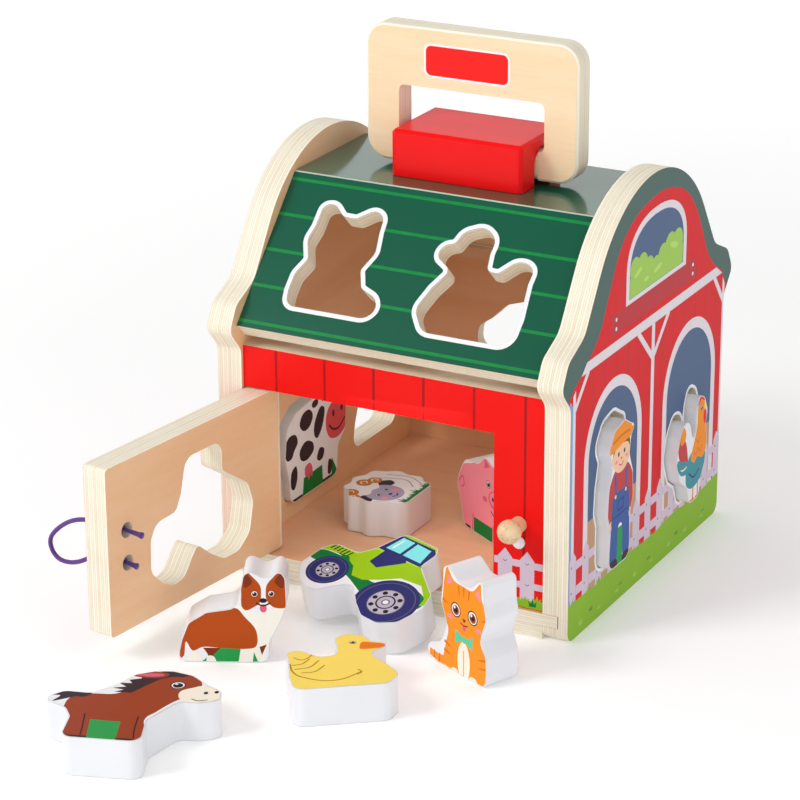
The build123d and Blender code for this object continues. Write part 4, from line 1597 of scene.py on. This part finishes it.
@dataclass
class Front(Assembly):
    """Front panel, base board, knob, button and dowels.

    Args:
        plank_pitch: From line to line of the painted planks, mm.
        first_plank: Place of one line.
        pickets: Places of the stile's pickets.
    """

    plank_pitch: float = 24.3
    first_plank: float = -57.2
    pickets: Pair = (55.2, 65.8)

    def build(self, finish: Material) -> None:
        """Prints pickets and grass at the foot of the stile.

        Args:
            finish: The printed material.
        """
        sheet = Sheet2D((0, FRONT_FACE, 0))
        art = Artwork("stile_print", sheet, box(50.0, 12.4, 73.6, 45), Ink.GRASS)
        art.add(Ink.GLOSS_RED, box(49, 16.6, 75, 46))
        art.add(Ink.PLANK_LINE, box(63.5, 16.6, 64.7, 46))
        art.add(Ink.PICKET, box(49, 31, 75, 34.2), box(49, 21.4, 75, 24.4),
                *[poly((x - 3.4, 16), (x + 3.4, 16), (x + 3.4, 34.6), (x, 38.8), (x - 3.4, 34.6)) for
                    x in self.pickets])
        art.add(Ink.STEEL_DARK,
                *[pen(0.3, (x - 0.9, z), (x, z - 0.6), (x + 0.9, z + 0.2)) for x in self.pickets for
                    z in (33.2, 23.4)])
        art.add(Ink.GRASS, *tufts(51, 74, 15.6, 19, 5.6))
        art.add(Ink.FOREST, *tufts(66, 72, 13.4, 17.4, 5.0))
        made = art.build(finish)
        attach(made, "barn")

    def dress(self) -> None:
        """Red planks in front, bare plywood behind, turned beech for the knob."""
        planks = Planks(Ink.GLOSS_RED, Ink.PLANK_LINE, (1, 0, 0), self.first_plank, self.plank_pitch)
        wear(Plywood("front_ply", (0, -1, 0), -FRONT_FACE - BOARD, BOARD, (0, 0, 1), 11, planks,
                     gloss=0.22, specular=0.12), "front_panel")
        wear(Plywood("base_ply", (0, 0, 1), 0, BOARD, (1, 0, 0), 11, warm="EBB48E", pale="F0C19C"),
             "base_board")
        wear(Turned("knob_beech", (0.5, 0.12, 0.5)), "stile_knob")
        wear(Gloss("button_white", Ink.WHITE, 0.3, 0.3), "stile_button")
        wear(Turned("dowel_beech", (0.1, 0.5, 0.5)), "wall_dowels")


@dataclass
class Back:
    """Thin back board, with the strip that closes it up to the back slope.

    Args:
        half: Half width of the strip, mm.
        strip: Its lower and upper edge.
        play: What it is thinner than the board at each face.
        ply: Plywood of board and strip.
    """

    half: float = 73.9
    strip: Pair = (107.75, 113.9)
    play: float = 0.05
    ply: Plywood = Plywood("back_ply", (0, 1, 0), BACK_FACE - BACK_BOARD, BACK_BOARD, (1, 0, 0), 5,
                           warm="DCA57A", pale="E3B38A")

    def build(self) -> None:
        """Dresses the board, and makes the strip as a box: its eight corners are all signs of half the
        width, thickness and height."""
        low, high = self.strip
        middle = np.array([0, BACK_FACE - BACK_BOARD / 2, (low + high) / 2])
        size = np.array([self.half, BACK_BOARD / 2 - self.play, (high - low) / 2])
        signs = np.array([(x, y, z) for x in (-1, 1) for y in (-1, 1) for z in (-1, 1)])
        faces = [(0, 1, 3, 2), (4, 6, 7, 5), (0, 4, 5, 1), (2, 3, 7, 6), (0, 2, 6, 4), (1, 5, 7, 3)]
        mesh = bpy.data.meshes.new("back_wall_strip")
        mesh.from_pydata(((middle + signs * size) * MM).tolist(), [], faces)
        mesh.materials.append(wear(self.ply, "back_wall"))
        made = linked("back_wall_strip", mesh)
        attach(made, "barn")


@dataclass
class Roof(Assembly):
    """Flat top board and both slopes, green with lighter stripes.

    Args:
        stripe_pitch: From stripe to stripe, mm.
        stripe_width: Of a stripe.
        first_stripe: Place of one stripe, up the slope from its foot.
        half: Half the boards' width.
        length: Of a slope.
        ring: Width of the white ring round each hole, from the hole.
        gap: Bare edge round each hole.
        worn: Where the pale line along the ridge, a painted highlight, starts and ends, from the ridge
            down.
        slopes: Name and direction along Y of each slope.
    """

    stripe_pitch: float = 17.65
    stripe_width: float = 1.5
    first_stripe: float = 3.0
    half: float = 73.8
    length: float = 77.8
    ring: float = 2.1
    gap: float = 0.05
    # span of the painted ridge highlight
    worn: Pair = (0.8, 0.1)
    slopes: tuple[tuple[str, int], ...] = (("front", -1), ("back", 1))

    def slope(self, side: int) -> tuple[np.ndarray, np.ndarray, np.ndarray]:
        """Frame of a slope.

        Args:
            side: -1 for the front one, 1 for the back one.

        Returns:
            Origin at its foot, direction up the slope and outward normal.
        """
        foot = np.array([0, side * -SLOPE_FOOT[0], SLOPE_FOOT[1]])
        ridge = np.array([0, side * -RIDGE, ROOF_TOP])
        up = (ridge - foot) / np.linalg.norm(ridge - foot)
        return foot, up, np.array([0, side * up[2], abs(up[1])])

    def build(self, finish: Material) -> None:
        """White rings round the holes of both slopes, and a pale line along each ridge, painted as its
        highlight.

        Args:
            finish: The printed material.
        """
        for name, side in self.slopes:
            node = f"{name}_roof_panel"
            foot, up, _ = self.slope(side)
            sheet = Sheet2D(tuple(foot), (-side, 0, 0), tuple(up))
            _, *holes = sheet.outlines(node)
            for index, hole in enumerate(holes):
                art = Artwork(f"{node}_ring_{index}", sheet, widened(hole, self.ring), Ink.WHITE,
                              [widened(hole, self.gap)])
                self.keep(art.build(finish))
            # Painted highlight: a pale line along the ridge, where the edge catches the light.
            start, end = self.worn
            edge = box(-self.half, self.length - start, self.half, self.length - end)
            self.keep(Artwork(f"{node}_ridge_highlight", sheet, edge, Ink.RIDGE_HIGHLIGHT).build(finish))

    def keep(self, made: Object) -> None:
        """Rides a printed mark on the barn's green paint."""
        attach(made, "barn")

    def dress(self) -> None:
        """Striped paint on the slopes and plain paint on the top board."""
        for name, side in self.slopes:
            foot, up, normal = self.slope(side)
            stripes = Planks(Ink.ROOF, Ink.ROOF_STRIPE, tuple(up), float(foot @ up) + self.first_stripe,
                             self.stripe_pitch, self.stripe_width)
            wear(Plywood(f"{name}_roof_panel_ply", tuple(normal), float(foot @ normal) - ROOF_BOARD,
                         ROOF_BOARD, (1, 0, 0), 7, stripes, gloss=0.26), f"{name}_roof_panel")
        wear(Plywood("roof_top_ply", (0, 0, 1), ROOF_TOP - ROOF_BOARD, ROOF_BOARD, (1, 0, 0), 7,
                     Plain(Ink.ROOF), gloss=0.36, clear=0.6, specular=0.5), "roof_top_panel")


@dataclass
class Carrier(Assembly):
    """Folding handle and the red saddle that holds it.

    Args:
        label: Left, lower, right and upper edge of the handle's bare label, mm.
        border: Width of its white border.
        corner: Radius of its corners.
        inner_corner: Radius of the red plate's corners.
    """

    label: tuple[float, float, float, float] = (-23.0, 219.4, 19.0, 234.6)
    border: float = 0.9
    corner: float = 3.4
    inner_corner: float = 2.6

    def build(self, finish: Material) -> None:
        """Bare red label place with a white border.

        Args:
            finish: The printed material.
        """
        art = Artwork("handle_label", Sheet2D((0, -BOARD / 2, 0)), rounded(*self.label, self.corner),
                      Ink.WHITE)
        inner = [edge + way * self.border for edge, way in zip(self.label, (1, 1, -1, -1))]
        art.add(Ink.LABEL_RED, rounded(*inner, self.inner_corner))
        made = art.build(finish)
        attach(made, "handle")

    def dress(self) -> None:
        """Birch for the handle, gloss red for the saddle, zinc for its screws."""
        wear(Plywood("handle_ply", (0, 1, 0), -BOARD / 2, BOARD, (1, 0, 0), 11, warm="F0CFA4",
                     pale="F4DEBB"), "handle_plate")
        wear(Gloss("saddle_red", Ink.SADDLE_RED, 0.24, 0.7, clear=0.1, specular=0.12), "handle_saddle")
        wear(Zinc("screw_zinc"), "saddle_screws")


@dataclass
class Door:
    """Open door with its pins, the elastic loop and the loop's knots.

    Args:
        cord_radius: Of the elastic, mm.
        route: The loop's way, outwards from the door's face and upwards from the holes.
        ends: For each knot, the height of its hole and how far its cut end stands out.
        mouth: Depth of the sunk mouth that a knot lies in.
        knot_size: Scale of the knot's curve across, out of the door and up.
        knot_gap: Part of the curve's turn that is left open at each end, radians.
        thread: Radius of the knot's tube, mm.
        flare: What its end is wider by, all along and at the tip, mm.
        sides: Corners of its round section.
    """

    cord_radius: float = 1.0
    route: tuple[Pair, ...] = ((-6, 7.5), (5, 7.5), (17, 5.5), (27, -1), (33, -8.5), (28.5, -16.5),
                               (17, -15.5), (5, -7.5), (-6, -7.5))
    ends: tuple[Pair, ...] = ((7.5, 8.5), (-7.5, 5.0))
    mouth: float = 3.6
    knot_size: Vec3 = (0.5, 0.75, 0.5)
    knot_gap: float = 0.35
    thread: float = 0.85
    flare: Pair = (0.3, 0.35)
    sides: int = 12

    def swung(self, closed: Points) -> Points:
        """Points of the closed door, turned open about its pins: x' = x cos + y sin and y' = y cos - x sin
        from the pins on.

        Args:
            closed: Points of the closed door, mm.

        Returns:
            The same points on the open door.
        """
        cosine, sine = math.cos(DOOR_OPEN), math.sin(DOOR_OPEN)
        opened = closed.astype(float).copy()
        turn = np.array([[cosine, sine], [-sine, cosine]])
        opened[:, :2] = (closed[:, :2] - DOOR_PIVOT) @ turn.T + DOOR_PIVOT
        return opened

    def build(self) -> None:
        """The cord as a NURBS curve on its route, and two knots with their ends."""
        out = np.array(self.route)
        closed = np.stack([np.full(len(out), CORD_ACROSS), FRONT_FACE - out[:, 0],
                           CORD_HEIGHT + out[:, 1]], axis=1)
        points = self.swung(closed) * MM
        line = bpy.data.curves.new("elastic_cord", "CURVE")
        line.dimensions = "3D"
        spline = line.splines.new("NURBS")
        spline.points.add(len(points) - 1)
        spline.points.foreach_set("co", np.concatenate([points, np.ones((len(points), 1))], axis=1).ravel())
        spline.order_u = 3
        spline.use_endpoint_u = True
        line.resolution_u = 16
        line.bevel_depth = self.cord_radius * MM
        line.bevel_resolution = 5
        line.use_fill_caps = True
        braid = Braid("elastic_braid").build()
        line.materials.append(braid)
        cord = linked("elastic_cord", line)
        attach(cord, "door")
        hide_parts("elastic_loop")
        knots = [self.knot(index, up, reach, braid) for index, (up, reach) in enumerate(self.ends)]
        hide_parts("loop_knots")
        length = float(np.linalg.norm(np.diff(points, axis=0), axis=1).sum())
        LOG.info("cord route, runs added up: %.4f m", length)

    def knot(self, index: int, up: float, reach: float, braid: Material) -> Object:
        """Overhand knot in a hole's sunk mouth, its cut end standing out.

        The tube follows x = sin t + 2 sin 2t, y = -sin 3t, z = cos t - 2 cos 2t, scaled to the mouth,
        and then runs straight out, a little wider where the threads open.

        Args:
            index: Number of the knot.
            up: Height of its hole above the middle of both, mm.
            reach: How far the cut end stands out of the door, mm.
            braid: The cord's material.

        Returns:
            The knot.
        """
        t = np.linspace(self.knot_gap, 2 * math.pi - self.knot_gap, 90)
        loop = np.stack([np.sin(t) + 2 * np.sin(2 * t), -np.sin(3 * t),
                         np.cos(t) - 2 * np.cos(2 * t)], axis=1)
        loop *= np.array(self.knot_size)
        share = np.linspace(0, 1, 26)[1:, None]
        end = np.array([0.2, reach + self.mouth, -0.4])
        start = np.array([loop[-1, 0], 1.2, loop[-1, 2]])
        tail = np.concatenate([loop[-1:] + (start - loop[-1:]) * share[:5] * 5,
                               start + (end - start) * share[4:] ** [[0.55, 1.0, 0.55]]])
        middle = np.concatenate([loop, tail])
        swell = np.linspace(0, 1, len(tail))
        wider, tip = self.flare
        radius = np.concatenate([np.full(len(loop), self.thread),
                                 self.thread + wider * swell + tip * swell ** 8])
        centre = np.array([CORD_ACROSS, FRONT_FACE + BOARD - self.mouth, CORD_HEIGHT + up])
        mesh = self.tube(f"cord_knot_{index}", self.swung(middle + centre), radius)
        mesh.materials.append(braid)
        made = linked(mesh.name, mesh)
        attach(made, "door")
        return made

    def tube(self, name: str, middle: Points, radius: Points) -> bpy.types.Mesh:
        """Closed tube: each ring lies square to the run, its points at radius times cos and sin of an
        angle along two directions that are square to the run and to each other.

        Args:
            name: Of the mesh.
            middle: Points of its middle line, mm.
            radius: Radius at each of them.

        Returns:
            The mesh, its walls in quads and its ends in triangles.
        """
        run = np.gradient(middle, axis=0)
        run /= np.linalg.norm(run, axis=1, keepdims=True)
        first = np.cross(run, (0.31, 0.17, 0.94))
        first /= np.linalg.norm(first, axis=1, keepdims=True)
        second = np.cross(run, first)
        angle = np.linspace(0, 2 * math.pi, self.sides, endpoint=False)[None, :, None]
        rings = middle[:, None, :] + radius[:, None, None] * (
            first[:, None, :] * np.cos(angle) + second[:, None, :] * np.sin(angle))
        points = np.concatenate([rings.reshape(-1, 3), middle[[0, -1]]]) * MM
        ring = np.arange(len(middle) - 1)[:, None] * self.sides
        side = np.arange(self.sides)[None, :]
        after = (side + 1) % self.sides
        walls = np.stack([ring + side, ring + after, ring + self.sides + after, ring + self.sides + side],
                         axis=2)
        last = (len(middle) - 1) * self.sides
        near, far = len(points) - 2, len(points) - 1
        turns = list(zip(side[0].tolist(), after[0].tolist()))
        caps = [[near, b, a] for a, b in turns] + [[far, last + a, last + b] for a, b in turns]
        mesh = bpy.data.meshes.new(name)
        mesh.from_pydata(points.tolist(), [], walls.reshape(-1, 4).tolist() + caps)
        mesh.polygons.foreach_set("use_smooth", np.ones(len(mesh.polygons), bool))
        return mesh

    def dress(self) -> None:
        """Plywood for the door, with the front's red planks outside, and beech for its pins."""
        outward = (-math.sin(DOOR_OPEN), -math.cos(DOOR_OPEN), 0.0)
        run = (math.cos(DOOR_OPEN), -math.sin(DOOR_OPEN), 0.0)
        middle, hinge = (float(np.dot(direction[:2], DOOR_PIVOT)) for direction in (outward, run))
        first = hinge + Front.first_plank - float(DOOR_PIVOT[0])
        planks = Planks(Ink.GLOSS_RED, Ink.PLANK_LINE, run, first, Front.plank_pitch)
        wear(Plywood("door_ply", outward, middle - BOARD / 2, BOARD, run, 11, planks,
                     warm="EDBF93", pale="F2CAA2", gloss=0.22, specular=0.2), "door_panel")
        wear(Turned("pin_beech", (0.5, 0.5, 0.1)), "door_pin_top", "door_pin_bottom")


# Studio.

@dataclass(frozen=True)
class PhotoCamera:
    """The photograph's camera.

    Args:
        place: Millimetres.
        azimuth: Degrees round from the front.
        elevation: Degrees up.
        roll: Degrees.
        lens: Focal length, mm.
        sensor: Width of the sensor, mm.
        clip: Nearest distance seen, metres.
    """

    place: Vec3 = (591.55, -1174.76, 577.72)
    azimuth: float = 28.23
    elevation: float = 21.145
    roll: float = -0.316
    lens: float = 139.34
    sensor: float = 36.0
    clip: float = 0.01

    def build(self) -> None:
        """Makes the camera, its axes worked out from the three angles, and sets it as the scene's."""
        az, el, roll = (math.radians(a) for a in (self.azimuth, self.elevation, self.roll))
        back = Vector((math.sin(az) * math.cos(el), -math.cos(az) * math.cos(el), math.sin(el)))
        level = Vector((math.cos(az), math.sin(az), 0))
        right = level * math.cos(roll) + back.cross(level) * math.sin(roll)
        up = back.cross(right)
        data = bpy.data.cameras.new("photo_camera")
        data.lens = self.lens
        data.sensor_width = self.sensor
        data.dof.use_dof = False
        data.clip_start = self.clip
        made = linked("photo_camera", data)
        axes = Matrix((right, up, back)).transposed().to_4x4()
        made.matrix_world = Matrix.Translation(Vector(self.place) * MM) @ axes
        bpy.context.scene.camera = made


@dataclass(frozen=True)
class Softbox:
    """One area lamp aimed at the barn.

    Args:
        name: Of the lamp.
        place: Metres.
        size: Side, metres.
        watts: Its power.
        aim: Point that it faces, metres.
    """

    name: str
    place: Vec3
    size: float
    watts: float
    aim: Vec3 = (0, -0.08, 0.08)

    def build(self) -> None:
        """Adds the lamp."""
        data = bpy.data.lights.new(self.name, "AREA")
        data.size = self.size
        data.energy = self.watts
        turn = (Vector(self.aim) - Vector(self.place)).to_track_quat("-Z", "Y")
        linked(self.name, data).matrix_world = Matrix.Translation(self.place) @ turn.to_matrix().to_4x4()


@dataclass
class Studio:
    """Pale floor, white surroundings, soft lamps and the photograph's camera.

    Args:
        half: Half the floor's side, metres.
        drop: Depth of the floor below the blocks, metres.
        near: Light that the floor gives off under the part.
        far: Light that it gives off far away.
        fade: Middle and half width of the way from one to the other, mm.
        ambient: Strength of the surroundings.
        mirrored: What a gloss surface sees of them instead.
        overhead: Middle and half width of the way to their darker top, as the height of a ray's run.
        darker: What a gloss surface sees less of them there.
        lamps: All lamps.
    """

    half: float = 3.0
    drop: float = 0.0001
    near: float = 0.15
    far: float = 0.42
    fade: Pair = (750.0, 450.0)
    ambient: float = 0.5
    mirrored: float = 0.95
    overhead: Pair = (0.6, 0.2)
    darker: float = 0.8
    lamps: tuple[Softbox, ...] = (
        Softbox("key", (-1.0, -1.3, 1.3), 0.7, 15.5),
        Softbox("top", (-0.2, 0.2, 1.9), 1.4, 6.0),
        Softbox("side", (1.7, -0.9, 0.7), 1.2, 6.0),
        Softbox("low", (0.1, -1.5, 0.14), 0.8, 3.1),
        Softbox("room", (0.005, -0.052, 0.102), 0.07, 0.028, (0.01, -0.03, 0.0)),
    )

    def build(self) -> None:
        """Makes floor, world, lamps and camera."""
        self.floor()
        self.world()
        for lamp in self.lamps:
            lamp.build()
        PhotoCamera().build()

    def floor(self) -> None:
        """Pale square floor just under the blocks, its glow fading in with the distance from the part."""
        square = [(x * self.half, y * self.half, -self.drop)
                  for x, y in ((-1, -1), (1, -1), (1, 1), (-1, 1))]
        mesh = bpy.data.meshes.new("floor")
        mesh.from_pydata(square, [], [(0, 1, 2, 3)])
        graph = Surface("floor_paper")
        cloud = graph.noise(0.002, 2.0)
        colour = graph.mix(cloud, (0.93, 0.93, 0.935, 1.0), (0.96, 0.96, 0.955, 1.0))
        across, ahead = graph.along((1, 0, 0)), graph.along((0, 1, 0))
        distance = graph.math("SQRT", across * across + ahead * ahead)
        glow = graph.mix(distance.step(*self.fade), (*[self.near] * 3, 1.0), (*[self.far] * 3, 1.0))
        mesh.materials.append(graph.finish(colour, 0.9, specular=0.0, glow=glow))
        made = linked("floor", mesh)

    def world(self) -> None:
        """White to the camera and in gloss, softer as a light and darker overhead in gloss."""
        world = bpy.data.worlds.new("studio")
        world.use_nodes = True
        graph = Graph(world.node_tree)
        path = graph.node("ShaderNodeLightPath")
        heading = graph.node("ShaderNodeSeparateXYZ", None,
                             {0: graph.out(graph.node("ShaderNodeTexCoord"), "Generated")})
        ceiling = graph.out(heading, "Z").step(*self.overhead)
        glossy = graph.out(path, "Is Glossy Ray")
        seen = graph.math("MAXIMUM", graph.out(path, "Is Camera Ray"),
                          graph.out(path, "Is Transmission Ray"))
        ambient = self.ambient + glossy * (self.mirrored - self.ambient - ceiling * self.darker)
        level = graph.math("MAXIMUM", seen, ambient)
        ground = graph.node("ShaderNodeBackground", None,
                            {"Color": (1.0, 1.0, 1.0, 1.0), "Strength": level})
        graph.node("ShaderNodeOutputWorld", None, {"Surface": graph.out(ground, "Background")})
        bpy.context.scene.world = world


def corners(box_pair: Sequence[Sequence[float]]) -> list[list[float]]:
    """Both corners of a box as plain lists."""
    return [[float(value) for value in corner] for corner in box_pair]


def main() -> None:
    """Builds, dresses and lights the whole scene."""
    logging.basicConfig(level=logging.INFO, format="%(name)s: %(message)s")
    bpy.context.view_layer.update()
    Studio().build()
    door = Door()
    door.build()
    door.dress()
    ink = Printed("printed_varnish").build()
    Back().build()
    for assembly in (Gables(), Front(), Roof(), Carrier(), Blocks()):
        assembly.build(ink)
        assembly.dress()
    bpy.context.scene.view_settings.view_transform = "Standard"


if __name__ == "__main__":
    main()
